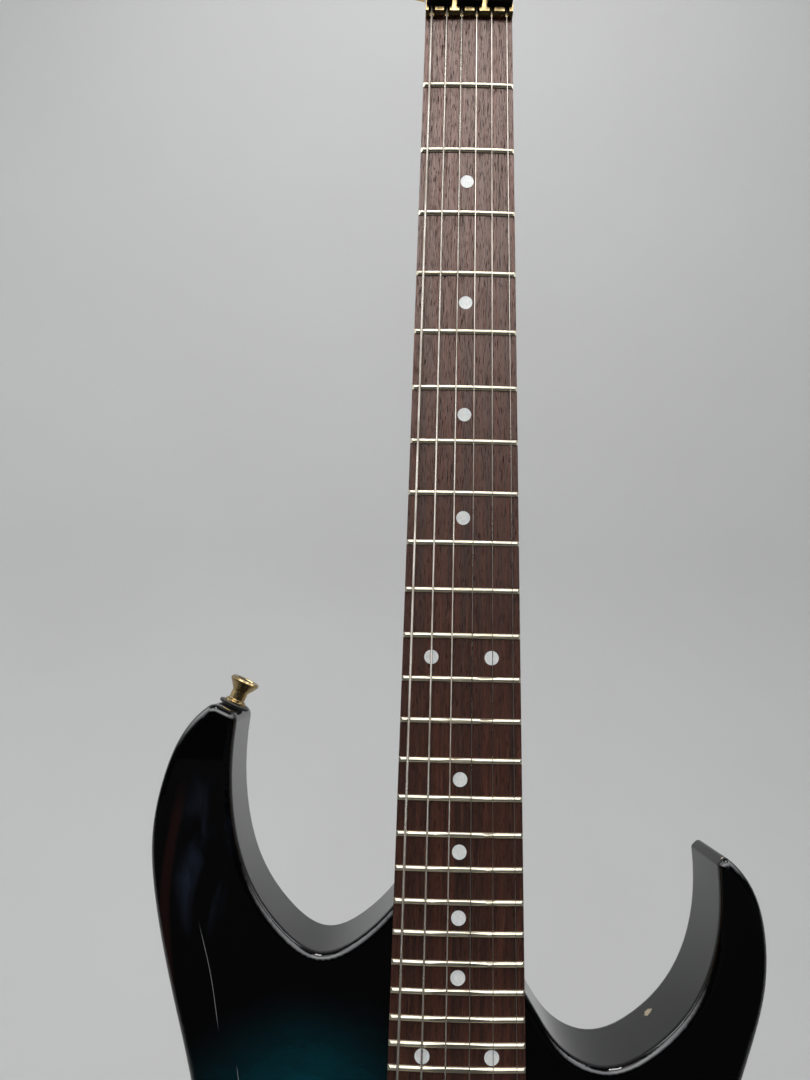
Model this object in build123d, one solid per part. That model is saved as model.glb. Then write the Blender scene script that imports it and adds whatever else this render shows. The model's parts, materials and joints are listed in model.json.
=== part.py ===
from build123d import *
import math
import os

# An electric guitar with a double-cutaway bolt-on body, a 24-fret neck, a locking nut,
# a floating tremolo and six tuners in line.  Millimetres.
#
# Everything is modelled lying on a bench: X runs across the strings with the thin strings
# on the +X side, Y runs along the neck from the end strap button to the headstock, and Z
# points out of the face.  stand_up() turns each piece upright when it is written.

# ---------------------------------------------------------------- driving dimensions
SCALE_LENGTH = 648.0
FRET_COUNT = 24
NUT_Y = 803.0
NUT_WIDTH = 43.0
NECK_FLARE = 0.0157  # growth of the half width for each mm away from the nut
BODY_THICKNESS = 40.0
CAP_THICKNESS = 6.0
EDGE_RADIUS = 3.5
BASS_CORNER_RADIUS = 5.0
TREBLE_CORNER_RADIUS = 2.0
BOARD_HEIGHT = 10.0  # top of the fretboard above the top of the body
BOARD_THICKNESS = 6.0
BOARD_RADIUS = 400.0
NUT_STRING_SPREAD = 37.0
SADDLE_STRING_SPREAD = 54.0
STRING_DIAMETERS = (1.17, 0.91, 0.66, 0.43, 0.33, 0.25)
FIT = 0.1  # gap around pieces that drop into a pocket
TOUCH = 0.02  # gap between pieces that bear on each other
RUNNING_GAP = 0.06  # gap all round a shaft that turns in a bore

# ---------------------------------------------------------------- levels and stations
BODY_TOP = BODY_THICKNESS / 2
BODY_BACK = -BODY_THICKNESS / 2
CAP_BOTTOM = BODY_TOP - CAP_THICKNESS
BOARD_TOP = BODY_TOP + BOARD_HEIGHT
NECK_TOP = BOARD_TOP - BOARD_THICKNESS
SADDLE_Y = NUT_Y - SCALE_LENGTH
BOARD_END = NUT_Y - SCALE_LENGTH * (1 - 2 ** (-FRET_COUNT / 12)) - 10
HEEL_START = BOARD_END + 4
HEEL_END = 384.0
POCKET_FLOOR = 4.0
NUT_STRING_Z = BOARD_TOP + 1.6
SADDLE_STRING_Z = BOARD_TOP + 4.5

# Neck
SHAFT_DEPTH_AT_NUT = 13.0
SHAFT_DEPTH_AT_HEEL = 15.5
SHOULDER = 1.5
SHELF_LENGTH = 15.0
TRUSS_Z = 20.5
TRUSS_ROD_DIAMETER = 6.0

# Frets and inlays
CROWN_WIDTH = 2.4
CROWN_HEIGHT = 1.2
TANG_WIDTH = 0.5
TANG_DEPTH = 1.8
DOT_DIAMETER = 6.35
DOT_DEPTH = 1.5
SINGLE_DOTS = (3, 5, 7, 9, 15, 17, 19, 21)
DOUBLE_DOTS = {12: 13.5, 24: 14.7}

# Headstock, in its own frame: X across, Y along it, Z out of its face
HEAD_TILT = 13.0
HEAD_THICKNESS = 14.0
FIRST_POST = (-21.5, 42.0)
POST_STEP = (7.4, 24.5)
HEAD_FLARE_START = 12.0
HEAD_TIP = (31.0, 199.0)
HEAD_TIP_CURVE = (19.8, 181.8)
STRING_HEIGHT_AT_POST = 8.6
RETAINER_Y = 14.0
RETAINER_RADIUS = 2.5
RETAINER_HEIGHT = 5.3
RETAINER_LEG_X = 22.0

# Tuners, in the frame of one tuner: X out to its button, Z up its post
WHEEL_TEETH = 15
GEAR_MODULE = 0.6
WHEEL_TIP_RADIUS = 4.75
WHEEL_ROOT_RADIUS = 4.0
WHEEL_WIDTH = 3.0
WORM_PITCH = math.pi * GEAR_MODULE
WORM_TURNS = 4
WORM_CORE_RADIUS = 2.1
WORM_THROW = 0.5
WORM_DISTANCE = 6.7
WORM_Z = -HEAD_THICKNESS - 4.0
POST_RADIUS = 3.0
POST_WAIST_RADIUS = 2.4
POST_TOP = 14.0
BUSHING_RADIUS = 4.9
SHAFT_RADIUS = 2.0
EDGE_TO_POST = 12.0
BUTTON_START = 17.0
LUG_Y = 11.3

# Tremolo
PIVOT_Y = 169.0
PIVOT_Z = 23.5
STUD_X = 37.0
STUD_Y = PIVOT_Y + 3
STUD_RADIUS = 4.75
STUD_FOOT_Z = -2.0
STUD_GROOVE_RADIUS = 2.98
PLATE_HALF_WIDTH = 46.0
PLATE_THICKNESS = 2.8
PLATE_REAR = 94.0
PLATE_TOP = PIVOT_Z + PLATE_THICKNESS / 2
PLATE_BOTTOM = PIVOT_Z - PLATE_THICKNESS / 2
KNIFE_ANGLE = 20.0
SADDLE_HALF_WIDTH = 5.15
LOCK_SCREW_Z = 29.3
BLOCK_FRONT = 158.0
BLOCK_REAR = 146.0
BLOCK_BOTTOM = -14.0
TUNER_BEAM_Y = 100.0
TUNER_BEAM_BOTTOM = 33.0
TUNER_BEAM_TOP = 39.0
FINE_TUNER_TILT = 20.0
FINE_TUNER_FLUTES = 16
HOLD_SCREW_Y = 163.5
LOCK_SCREW_Y = 92.0
CLAMP_BLOCK_Y = 139.0
ARM_X = 40.0
ARM_Y = 130.0
ARM_RADIUS = 2.75
ARM_HEIGHT = 58.0
ARM_LEAN = 20.0
SPRING_X = (-16.0, 0.0, 16.0)
SPRING_Z = -9.5
SPRING_RADIUS = 3.6
SPRING_WIRE = 0.55
SPRING_PITCH = 2.6
SPRING_TURNS = 29
CLAW_Y = 250.0
STRAP_HOLE_DEPTH = 30.0
CLAW_SCREW_X = (-8.0, 8.0)

# Pickups
HUMBUCKER_Y = (200.0, 284.0)
SINGLE_COIL_Y = 242.0
COIL_LENGTH = 66.0
COIL_WIDTH = 16.4
COIL_OFFSET = 9.0
PICKUP_TOP = 29.3
PICKUP_PLATE_Z = 15.5
POLE_RADIUS = 2.4
PICKUP_SCREW_X = 39.0

# Cavities and covers
PICKUP_CAVITY_FLOOR = 0.0
SPRING_CAVITY_TOP = -3.0
SPRING_CAVITY = (-31.0, 31.0, 130.0, 264.0)
RECESS_FLOOR = 11.0
CONTROL_CAVITY_TOP = 12.0
CONTROL_OUTLINE = ((62, 84), (134, 84), (137, 134), (126, 176), (108, 200), (62, 200))
COVER_THICKNESS = 2.0
COVER_LIP = 6.0

# Controls
VOLUME_XY = (78.0, 178.0)
TONE_XY = (92.0, 132.0)
SELECTOR_XY = (112.0, 164.0)
KNOB_RADIUS = 9.0
KNOB_HEIGHT = 15.0
KNOB_GROOVES = 30
POT_SHAFT_RADIUS = 3.0
LEVER_PIVOT_Z = 6.0
LEVER_PIN_RADIUS = 1.2
JACK_Y = 100.0
JACK_FACE_X = 157.5
JACK_BORE_RADIUS = 3.2
JACK_RADIUS = 5.6
JACK_LENGTH = 24.0

# Strap buttons
STRAP_BUTTON_HEIGHT = 12.0
WAIST_RADIUS = 3.8
SCREW_RECESS = 1.5
WASHER_THICKNESS = 1.5
WASHER_RADIUS = 7.5

# Neck joint
NECK_PLATE = (48.0, 32.0, 2.0)
NECK_PLATE_Y = 327.0
NECK_SCREW_X = 17.5
NECK_SCREW_DY = 9.5
NECK_SCREW_TIP = 17.0
LARGE_SCREW_RADIUS = 2.25
SMALL_SCREW_RADIUS = 1.25

# Corners of the body outline: each flat runs between two of them
BASS_TIP = ((-101.5, 460.5), (-113.0, 465.5))
TREBLE_TIP = ((116.5, 399.0), (120.0, 402.5))
HEEL_LINE = ((-27.8, 379.3), (28.6, 346.0))


# ---------------------------------------------------------------- shared helpers
def fret_y(number):
    """Distance of a fret from the end of the body."""
    return NUT_Y - SCALE_LENGTH * (1 - 2 ** (-number / 12))


def half_width(y):
    """Half the width of the neck at a station along it."""
    return NUT_WIDTH / 2 + NECK_FLARE * (NUT_Y - y)


def string_share(index):
    """Where a string lies across the set: -0.5 for the thickest, +0.5 for the thinnest."""
    return index / (len(STRING_DIAMETERS) - 1) - 0.5


def saddle_x(index):
    return string_share(index) * SADDLE_STRING_SPREAD


def nut_x(index):
    return string_share(index) * NUT_STRING_SPREAD


def block(x0, x1, y0, y1, z0, z1):
    """A box between two corners."""
    return Pos((x0 + x1) / 2, (y0 + y1) / 2, (z0 + z1) / 2) * Box(x1 - x0, y1 - y0, z1 - z0)


def rod(start, end, radius):
    """A cylinder between two points."""
    start = Vector(*start)
    along = Vector(*end) - start
    return extrude(Plane(start, z_dir=along) * Circle(radius), amount=along.length)


def upright_cylinder(x, y, radius, z0, z1):
    return rod((x, y, z0), (x, y, z1), radius)


def prism(points, z0, z1):
    """A polygon in plan, extruded between two levels."""
    outline = Polygon(*points, align=None)
    return extrude(Pos(0, 0, z0) * outline, amount=z1 - z0)


def side_profile(points, x0, x1):
    """A polygon of (y, z) points, extruded across the body from x0 to x1."""
    face = Polygon(*points, align=None)
    return extrude(Plane((x0, 0, 0), x_dir=(0, 1, 0), z_dir=(1, 0, 0)) * face, amount=x1 - x0)


def turned(profile, origin=(0, 0, 0), direction=(0, 0, 1)):
    """A solid of revolution from (radius, height) points, set on an axis."""
    face = Plane.XZ * Polygon(*profile, align=None)
    return Plane(Vector(*origin), z_dir=Vector(*direction)).location * revolve(face, Axis.Z)


def joined(pieces):
    """Solids that overlap, fused into one."""
    pieces = list(pieces)
    return pieces[0].fuse(*pieces[1:]) if len(pieces) > 1 else pieces[0]


def screw(origin, direction, radius, length, head_radius, head_height):
    """A screw whose head sits on origin, with its shank running back along -direction."""
    head = turned(
        [
            (0, -length),
            (radius, -length),
            (radius, 0),
            (head_radius, 0),
            (head_radius, head_height * 0.5),
            (head_radius * 0.8, head_height),
            (0, head_height),
        ],
        origin,
        direction,
    )
    plane = Plane(Vector(*origin), z_dir=Vector(*direction))
    drive = RegularPolygon(head_radius * 0.42, 6)
    depth = head_height * 0.6
    return head - extrude(plane.offset(head_height - depth) * drive, amount=depth)


def small_screw_at(x, y, z, length, up=True):
    """A small screw in the face (up) or the back of the body."""
    direction = (0, 0, 1) if up else (0, 0, -1)
    return screw((x, y, z), direction, SMALL_SCREW_RADIUS, length, 2.5, 1.3)


def cut(shape, tools):
    """A shape with a list of tools taken out of it."""
    tools = list(tools)
    return shape.cut(*tools) if tools else shape


# ---------------------------------------------------------------- headstock frame
HEAD_FRAME = Location((0, NUT_Y + SHELF_LENGTH, NECK_TOP), (-HEAD_TILT, 0, 0))


def post_xy(index):
    """A tuner post in the headstock frame."""
    return (FIRST_POST[0] + index * POST_STEP[0], FIRST_POST[1] + index * POST_STEP[1])


def tuner_frame(index):
    """The frame of one tuner, turned so that its X runs square to the line of posts."""
    x, y = post_xy(index)
    lean = math.degrees(math.atan2(POST_STEP[0], POST_STEP[1]))
    return HEAD_FRAME * Location((x, y, 0), (0, 0, 180 - lean))


def on_head(x, y, z):
    """A headstock point in bench coordinates."""
    return (HEAD_FRAME * Pos(x, y, z)).position


def head_blank():
    across = Vector(*POST_STEP).normalized()
    out = Vector(-across.Y, across.X)
    edge_start = Vector(*post_xy(0)) + out * EDGE_TO_POST - across * 2
    edge_end = Vector(*post_xy(5)) + out * EDGE_TO_POST + across * 5
    edge_start = (edge_start.X, edge_start.Y)
    edge_end = (edge_end.X, edge_end.Y)
    root = half_width(NUT_Y)
    straight = HEAD_FLARE_START
    bass_curve = Spline((-root, straight), (-25.2, 24), edge_start, tangents=[(0, 1), (0.29, 0.957)])
    bass_edge = Line(edge_start, edge_end)
    tip_curve = ThreePointArc(edge_end, HEAD_TIP_CURVE, HEAD_TIP)
    treble_curve = Spline(
        HEAD_TIP, (31.5, 155), (26.5, 88), (24.2, 30), (root, straight), tangents=[(0.2, -1), (0, -1)]
    )
    throat = Polyline((root, straight), (root, 0), (-root, 0), (-root, straight)).edges()
    outline = make_face([bass_curve, bass_edge, tip_curve, treble_curve] + throat)
    slab = extrude(Pos(0, 0, -HEAD_THICKNESS) * outline, amount=HEAD_THICKNESS)
    return HEAD_FRAME * slab


# ---------------------------------------------------------------- body
def body_outline():
    """The whole body in plan, as a face."""
    outside = Spline(
        BASS_TIP[1], (-125.5, 453), (-134, 432), (-137.7, 406), (-134.5, 378), (-123.5, 335),
        (-112.5, 295), (-109, 256), (-121, 213), (-145, 170), (-158.5, 124), (-156, 78),
        (-130, 33), (-76, 7.5), (0, 0), (76, 7.5), (130, 33), (156, 78),
        (158.5, 124), (144, 168), (120, 209), (109.5, 248), (115.5, 283), (128.5, 321),
        (135.8, 346), (137, 368), (132.4, 388), TREBLE_TIP[1],
    )
    bass_cutaway = Spline(
        BASS_TIP[0], (-103, 444), (-101.3, 416), (-93.5, 390), (-79, 369.5),
        (-60, 358.2), (-42, 365.5), HEEL_LINE[0],
    )
    treble_cutaway = Spline(
        HEEL_LINE[1], (36, 334.5), (47, 320.6), (65, 313.7), (86.5, 322),
        (104, 339.5), (114.3, 363), (117.1, 388), TREBLE_TIP[0],
    )
    flats = [Line(*BASS_TIP), Line(*HEEL_LINE), Line(*TREBLE_TIP)]
    face = make_face([outside, bass_cutaway, treble_cutaway] + flats)
    corners = [(c, BASS_CORNER_RADIUS) for c in BASS_TIP] + [(c, TREBLE_CORNER_RADIUS) for c in TREBLE_TIP]
    for corner, radius in corners:
        nearest = face.vertices().sort_by_distance(corner + (0,))[0]
        face = fillet(nearest, radius)
    return face


def rounded_slab(z0, z1, rounded_z):
    """The body outline between two levels, with one of its rims rounded."""
    slab = extrude(Pos(0, 0, z0) * body_outline(), amount=z1 - z0)
    rim = slab.edges().filter_by_position(Axis.Z, rounded_z - 0.01, rounded_z + 0.01)
    return fillet(rim, EDGE_RADIUS)


def neck_pocket():
    """The pocket for the heel, which runs out through the cutaway side of the body."""
    far = HEEL_END + 20
    y0 = HEEL_START - FIT
    w0 = half_width(y0) + FIT
    w1 = half_width(far) + FIT
    return prism([(-w0, y0), (w0, y0), (w1, far), (-w1, far)], POCKET_FLOOR, NECK_TOP + 40)


def stadium(length, width, z0, z1, y):
    """A slot-shaped prism across the strings, centred at a station."""
    return extrude(Pos(0, y, z0) * SlotOverall(length, width), amount=z1 - z0)


def pickup_cavities():
    ears = 2 * PICKUP_SCREW_X + 10
    tools = []
    for y in HUMBUCKER_Y:
        main = Pos(0, y, PICKUP_CAVITY_FLOOR) * RectangleRounded(COIL_LENGTH + 4, 38.5, 4)
        ear = Pos(0, y, PICKUP_CAVITY_FLOOR) * RectangleRounded(ears, 13, 4)
        tools += [extrude(main, amount=30), extrude(ear, amount=30)]
    tools.append(stadium(ears, 19, PICKUP_CAVITY_FLOOR, 30, SINGLE_COIL_Y))
    return tools


def rounded_box(x0, x1, y0, y1, z0, z1, radius):
    outline = RectangleRounded(x1 - x0, y1 - y0, radius)
    return extrude(Pos((x0 + x1) / 2, (y0 + y1) / 2, z0) * outline, amount=z1 - z0)


def tremolo_cavities():
    x0, x1, y0, y1 = SPRING_CAVITY
    wide = PLATE_HALF_WIDTH + 4
    return [
        rounded_box(-wide, wide, PLATE_REAR - 8, 163, RECESS_FLOOR, 40, 5),
        rounded_box(-31, 31, 150, 178, RECESS_FLOOR, 40, 4),
        rounded_box(-41, 41, y0, 167, BODY_BACK, 40, 4),
        rounded_box(x0, x1, y0, y1, BODY_BACK, SPRING_CAVITY_TOP, 4),
    ]


def tremolo_cover_outline(lip):
    x0, x1, y0, y1 = SPRING_CAVITY
    centre = Pos(0, (y0 + y1) / 2 - 1, 0)
    return centre * RectangleRounded(2 * (41 + lip), y1 - y0 + 2 * lip + 2, 8)


def control_outline(grow):
    outline = Polygon(*CONTROL_OUTLINE, align=None)
    return offset(outline, amount=grow)


def control_cavities():
    outline = Pos(0, 0, BODY_BACK) * fillet(Polygon(*CONTROL_OUTLINE, align=None).vertices(), 6)
    wire_run = rod((-10, 200, 3), (66, 186, 3), 3)
    return [extrude(outline, amount=CONTROL_CAVITY_TOP - BODY_BACK), wire_run]


def cover_rebates():
    """Shallow steps that let both back covers sit flush."""
    outlines = [tremolo_cover_outline(COVER_LIP + FIT), control_outline(COVER_LIP + FIT)]
    return [extrude(Pos(0, 0, BODY_BACK) * o, amount=COVER_THICKNESS) for o in outlines]


def body_holes():
    """Holes for the studs, controls, jack and every screw in the body."""
    tools = [upright_cylinder(sx * STUD_X, STUD_Y, STUD_RADIUS, STUD_FOOT_Z, BODY_TOP) for sx in (-1, 1)]
    for x, y in (VOLUME_XY, TONE_XY):
        tools.append(upright_cylinder(x, y, 4.0, 0, BODY_TOP + 1))
    x, y = SELECTOR_XY
    tools.append(block(x - 1.8, x + 1.8, y - 9.5, y + 9.5, 5, BODY_TOP + 1))
    tools.append(rod((120, JACK_Y, 0), (JACK_FACE_X, JACK_Y, 0), JACK_RADIUS))
    tools.append(rod((JACK_FACE_X - 2.5, JACK_Y, 0), (JACK_FACE_X + 20, JACK_Y, 0), 12.2))
    for x, y in neck_screw_xy():
        tools.append(upright_cylinder(x, y, LARGE_SCREW_RADIUS + FIT, BODY_BACK, POCKET_FLOOR))
    for origin, direction in strap_seats():
        outward = Vector(*direction)
        tip = Vector(*origin) - outward * STRAP_HOLE_DEPTH
        tools.append(rod(tuple(tip), tuple(Vector(*origin) + outward), LARGE_SCREW_RADIUS))
    for x in CLAW_SCREW_X:
        tools.append(rod((x, 255, SPRING_Z), (x, 284, SPRING_Z), LARGE_SCREW_RADIUS))
    for x, y, z, length, up in body_small_screws():
        tip = z - length if up else z + length
        tools.append(rod((x, y, tip), (x, y, z), SMALL_SCREW_RADIUS))
    return tools


def neck_screw_xy():
    corners = [(-1, -1), (-1, 1), (1, -1), (1, 1)]
    return [(sx * NECK_SCREW_X, NECK_PLATE_Y + sy * NECK_SCREW_DY) for sx, sy in corners]


def strap_seats():
    """Seat point and outward direction of both strap buttons."""
    (x0, y0), (x1, y1) = BASS_TIP
    run = Vector(x1 - x0, y1 - y0).normalized()
    horn = ((x0 + x1) / 2, (y0 + y1) / 2, 0)
    return [((0, 0, 0), (0, -1, 0)), (horn, (run.Y, -run.X, 0))]


def body_small_screws():
    """Head seat, length and side of every small screw driven into the body."""
    screws = []
    for y in HUMBUCKER_Y + (SINGLE_COIL_Y,):
        screws += [(sx * PICKUP_SCREW_X, y, PICKUP_PLATE_Z + 1, 26, True) for sx in (-1, 1)]
    x, y = SELECTOR_XY
    screws += [(x, y + dy, BODY_TOP, 10, True) for dy in (-14, 14)]
    x0, x1, y0, y1 = SPRING_CAVITY
    for sx in (-1, 1):
        for y in (y0 + 2, (y0 + y1) / 2, y1 - 6):
            screws.append((sx * (41 + 3), y, BODY_BACK, 12, False))
    for x, y in ((59, 92), (59, 190), (104, 201), (129.5, 163), (139, 112), (98, 81)):
        screws.append((x, y, BODY_BACK, 12, False))
    return screws


def body_cutters():
    pocket = [neck_pocket()]
    cavities = pickup_cavities() + tremolo_cavities() + control_cavities()
    return pocket + cavities + cover_rebates() + body_holes()


def body_core(cutters):
    return cut(rounded_slab(BODY_BACK, CAP_BOTTOM, BODY_BACK), cutters)


def top_cap(cutters):
    return cut(rounded_slab(CAP_BOTTOM, BODY_TOP, BODY_TOP), cutters)


# ---------------------------------------------------------------- neck
def shaft_section(y, depth):
    """A rounded neck section, flat along its top."""
    w = half_width(y)
    top = [(-w, NECK_TOP - SHOULDER), (-w, NECK_TOP), (w, NECK_TOP), (w, NECK_TOP - SHOULDER)]
    curve = ThreePointArc(top[3], (0, NECK_TOP - depth), top[0])
    face = make_face([Polyline(*top), curve])
    return Plane((0, y, 0), x_dir=(1, 0, 0), z_dir=(0, -1, 0)) * face


def neck():
    shaft_end = NUT_Y + SHELF_LENGTH
    sections = [shaft_section(HEEL_START, SHAFT_DEPTH_AT_HEEL), shaft_section(shaft_end, SHAFT_DEPTH_AT_NUT)]
    shaft = loft(sections)
    w0 = half_width(HEEL_START)
    w1 = half_width(HEEL_END)
    heel_plan = [(-w0, HEEL_START), (w0, HEEL_START), (w1, HEEL_END), (-w1, HEEL_END)]
    heel = prism(heel_plan, POCKET_FLOOR, NECK_TOP)
    toe = heel.edges().filter_by(Axis.X).sort_by(Axis.Z)[:2].sort_by(Axis.Y)[-1]
    heel = fillet(toe, 4.5)
    whole = joined([shaft, heel, head_blank()])
    tools = [
        block(-3.1, 3.1, 330, shaft_end + 2, TRUSS_Z - 3.1, NECK_TOP),
        block(-5, 5, shaft_end - 3, shaft_end + 26, TRUSS_Z - 5, NECK_TOP),
    ]
    for x, y in neck_screw_xy():
        tools.append(upright_cylinder(x, y, LARGE_SCREW_RADIUS, POCKET_FLOOR, NECK_SCREW_TIP))
    for i in range(6):
        tools.append(tuner_frame(i) * rod((0, 0, -HEAD_THICKNESS - 1), (0, 0, 1), BUSHING_RADIUS))
    for seat, tip in head_small_screws():
        tools.append(rod(tip, seat, SMALL_SCREW_RADIUS))
    return cut(whole, tools)


def truss_rod():
    """Rod with its adjusting barrel in the pocket behind the nut."""
    radius = TRUSS_ROD_DIAMETER / 2
    stem = rod((0, 334, TRUSS_Z), (0, NUT_Y + SHELF_LENGTH + 1, TRUSS_Z), radius)
    barrel = rod((0, NUT_Y + SHELF_LENGTH, TRUSS_Z), (0, NUT_Y + SHELF_LENGTH + 14, TRUSS_Z), 3.6)
    plane = Plane((0, NUT_Y + SHELF_LENGTH + 14, TRUSS_Z), z_dir=(0, -1, 0))
    socket = extrude(plane * RegularPolygon(2.2, 6), amount=8)
    return joined([stem, barrel]) - socket


TRUSS_COVER_SCREWS = ((0.0, 46.0), (-7.5, 24.0), (7.5, 24.0))


def truss_rod_cover():
    corners = Polygon((-10, 18), (10, 18), (10, 27), (4, 51), (-4, 51), (-10, 27), align=None)
    outline = fillet(corners.vertices(), 2)
    plate = extrude(outline, amount=1.6)
    plate = chamfer(plate.faces().sort_by(Axis.Z)[-1].edges(), 0.4)
    holes = [upright_cylinder(x, y, SMALL_SCREW_RADIUS, -1, 3) for x, y in TRUSS_COVER_SCREWS]
    return HEAD_FRAME * cut(plate, holes)


def head_small_screws():
    """Head seat and tip of the small screws in the headstock."""
    pairs = [(on_head(x, y, 1.6), on_head(x, y, -6.4)) for x, y in TRUSS_COVER_SCREWS]
    for i in range(6):
        frame = tuner_frame(i)
        seat = (frame * Pos(2, -LUG_Y, -HEAD_THICKNESS - 2.5)).position
        tip = (frame * Pos(2, -LUG_Y, -HEAD_THICKNESS + 6)).position
        pairs.append((seat, tip))
    for x in (-RETAINER_LEG_X, RETAINER_LEG_X):
        pairs.append((on_head(x, RETAINER_Y, 8.2), on_head(x, RETAINER_Y, -8)))
    return pairs


def fretboard_blank():
    w0 = half_width(BOARD_END)
    w1 = half_width(NUT_Y)
    plan = [(-w0, BOARD_END), (w0, BOARD_END), (w1, NUT_Y), (-w1, NUT_Y)]
    slab = prism(plan, NECK_TOP, BOARD_TOP)
    axis_z = BOARD_TOP - BOARD_RADIUS
    return slab & rod((0, BOARD_END - 1, axis_z), (0, NUT_Y + 1, axis_z), BOARD_RADIUS)


def across_board(face, y):
    """A (y, z) profile swept over the camber of the fretboard."""
    sweep = math.degrees(math.asin((half_width(y) + 1) / BOARD_RADIUS))
    axis = Axis((0, 0, BOARD_TOP - BOARD_RADIUS), (0, 1, 0))
    placed = Plane((0, y, BOARD_TOP), x_dir=(0, 1, 0), z_dir=(1, 0, 0)) * face
    return revolve(placed.rotate(axis, -sweep), axis, 2 * sweep)


def fret(number):
    y = fret_y(number)
    half = CROWN_WIDTH / 2
    dome = ThreePointArc((-half, 0), (0, CROWN_HEIGHT), (half, 0))
    crown = make_face([dome, Line((half, 0), (-half, 0))])
    tang = Pos(0, -TANG_DEPTH / 2) * Rectangle(TANG_WIDTH, TANG_DEPTH)
    bar = across_board(crown + tang, y)
    w = half_width(y)
    edge_z = BOARD_TOP - w * w / (2 * BOARD_RADIUS)
    slope = [(w, edge_z - 5), (w, edge_z), (w - 1.6, edge_z + 2)]
    section = Polygon(*slope, *[(-x, z) for x, z in reversed(slope)], align=None)
    keep = extrude(Plane((0, y + 2, 0), x_dir=(1, 0, 0), z_dir=(0, -1, 0)) * section, amount=4)
    return bar & keep


def frets():
    return [fret(n) for n in range(1, FRET_COUNT + 1)]


def fret_slot(number):
    profile = Pos(0, -TANG_DEPTH / 2) * Rectangle(TANG_WIDTH + FIT, TANG_DEPTH + 2 * FIT)
    return across_board(profile, fret_y(number))


def dot_xy():
    places = [(0, n) for n in SINGLE_DOTS]
    for n, spread in DOUBLE_DOTS.items():
        places += [(-spread, n), (spread, n)]
    return [(x, (fret_y(n) + fret_y(n - 1)) / 2) for x, n in places]


def dot_plugs():
    bottom = BOARD_TOP - DOT_DEPTH - 1
    return [upright_cylinder(x, y, DOT_DIAMETER / 2, bottom, BOARD_TOP + 1) for x, y in dot_xy()]


def position_dots(blank):
    return [plug & blank for plug in dot_plugs()]


def fretboard(blank):
    slots = [fret_slot(n) for n in range(1, FRET_COUNT + 1)]
    return cut(cut(blank, slots), dot_plugs())


# ---------------------------------------------------------------- locking nut
NUT_DEPTH = 15.0
NUT_RIDGE = 3.5
NUT_SCREW_Y = NUT_Y + 9.5
NUT_SCREW_RADIUS = 1.9
NUT_SCREW_TIP = NECK_TOP + 1
NUT_END_WIDTH = 1.8
NUT_FLOOR = NUT_STRING_Z - STRING_DIAMETERS[0] / 2 - FIT
NUT_CREST = NUT_FLOOR + 2.3
CLAMP_BOTTOM = NUT_STRING_Z + STRING_DIAMETERS[0] / 2 + TOUCH
CLAMP_TOP = CLAMP_BOTTOM + 4.5
CLAMP_HALF_WIDTH = 6.3


def nut_screw_x():
    """Each clamp screw stands midway between its pair of strings."""
    return [(nut_x(i) + nut_x(i + 1)) / 2 for i in (0, 2, 4)]


def nut_base():
    half = NUT_WIDTH / 2
    bed = block(-half, half, NUT_Y, NUT_Y + NUT_DEPTH, NECK_TOP, NUT_FLOOR)
    ridge = side_profile(
        [(NUT_Y, NUT_FLOOR - 1), (NUT_Y + NUT_RIDGE, NUT_FLOOR - 1), (NUT_Y + NUT_RIDGE, NUT_CREST),
         (NUT_Y + 1.3, NUT_CREST), (NUT_Y, NUT_CREST - 1.3)], -half, half,
    )
    bass_end = block(-half, -half + NUT_END_WIDTH, NUT_Y + 1, NUT_Y + NUT_DEPTH, NUT_FLOOR - 1, NUT_FLOOR + 1)
    treble_end = Pos(NUT_WIDTH - NUT_END_WIDTH, 0, 0) * bass_end
    whole = joined([bed, ridge, bass_end, treble_end])
    tools = []
    for i, diameter in enumerate(STRING_DIAMETERS):
        x = nut_x(i)
        low = diameter / 2 + 0.35
        high = low + 1
        top = NUT_CREST + 1
        sides = [(x - low, NUT_FLOOR), (x + low, NUT_FLOOR), (x + high, top), (x - high, top)]
        face = Polygon(*sides, align=None)
        plane = Plane((0, NUT_Y + NUT_RIDGE + 1, 0), x_dir=(1, 0, 0), z_dir=(0, -1, 0))
        tools.append(extrude(plane * face, amount=NUT_RIDGE + 2))
    for x in nut_screw_x():
        tools.append(upright_cylinder(x, NUT_SCREW_Y, NUT_SCREW_RADIUS, NUT_SCREW_TIP, NUT_FLOOR + 1))
    return cut(whole, tools)


def nut_clamps():
    clamps = []
    y0 = NUT_Y + NUT_RIDGE + 1
    y1 = NUT_Y + NUT_DEPTH - 0.8
    for x in nut_screw_x():
        body = block(x - CLAMP_HALF_WIDTH, x + CLAMP_HALF_WIDTH, y0, y1, CLAMP_BOTTOM, CLAMP_TOP)
        body = chamfer(body.faces().sort_by(Axis.Z)[-1].edges(), 0.9)
        hole = upright_cylinder(x, NUT_SCREW_Y, NUT_SCREW_RADIUS + FIT, CLAMP_BOTTOM - 1, CLAMP_TOP + 1)
        clamps.append(body - hole)
    return clamps


def nut_screws():
    length = CLAMP_TOP - NUT_SCREW_TIP
    heads = [(x, NUT_SCREW_Y, CLAMP_TOP) for x in nut_screw_x()]
    return [screw(head, (0, 0, 1), NUT_SCREW_RADIUS, length, 3.3, 3.4) for head in heads]


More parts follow.
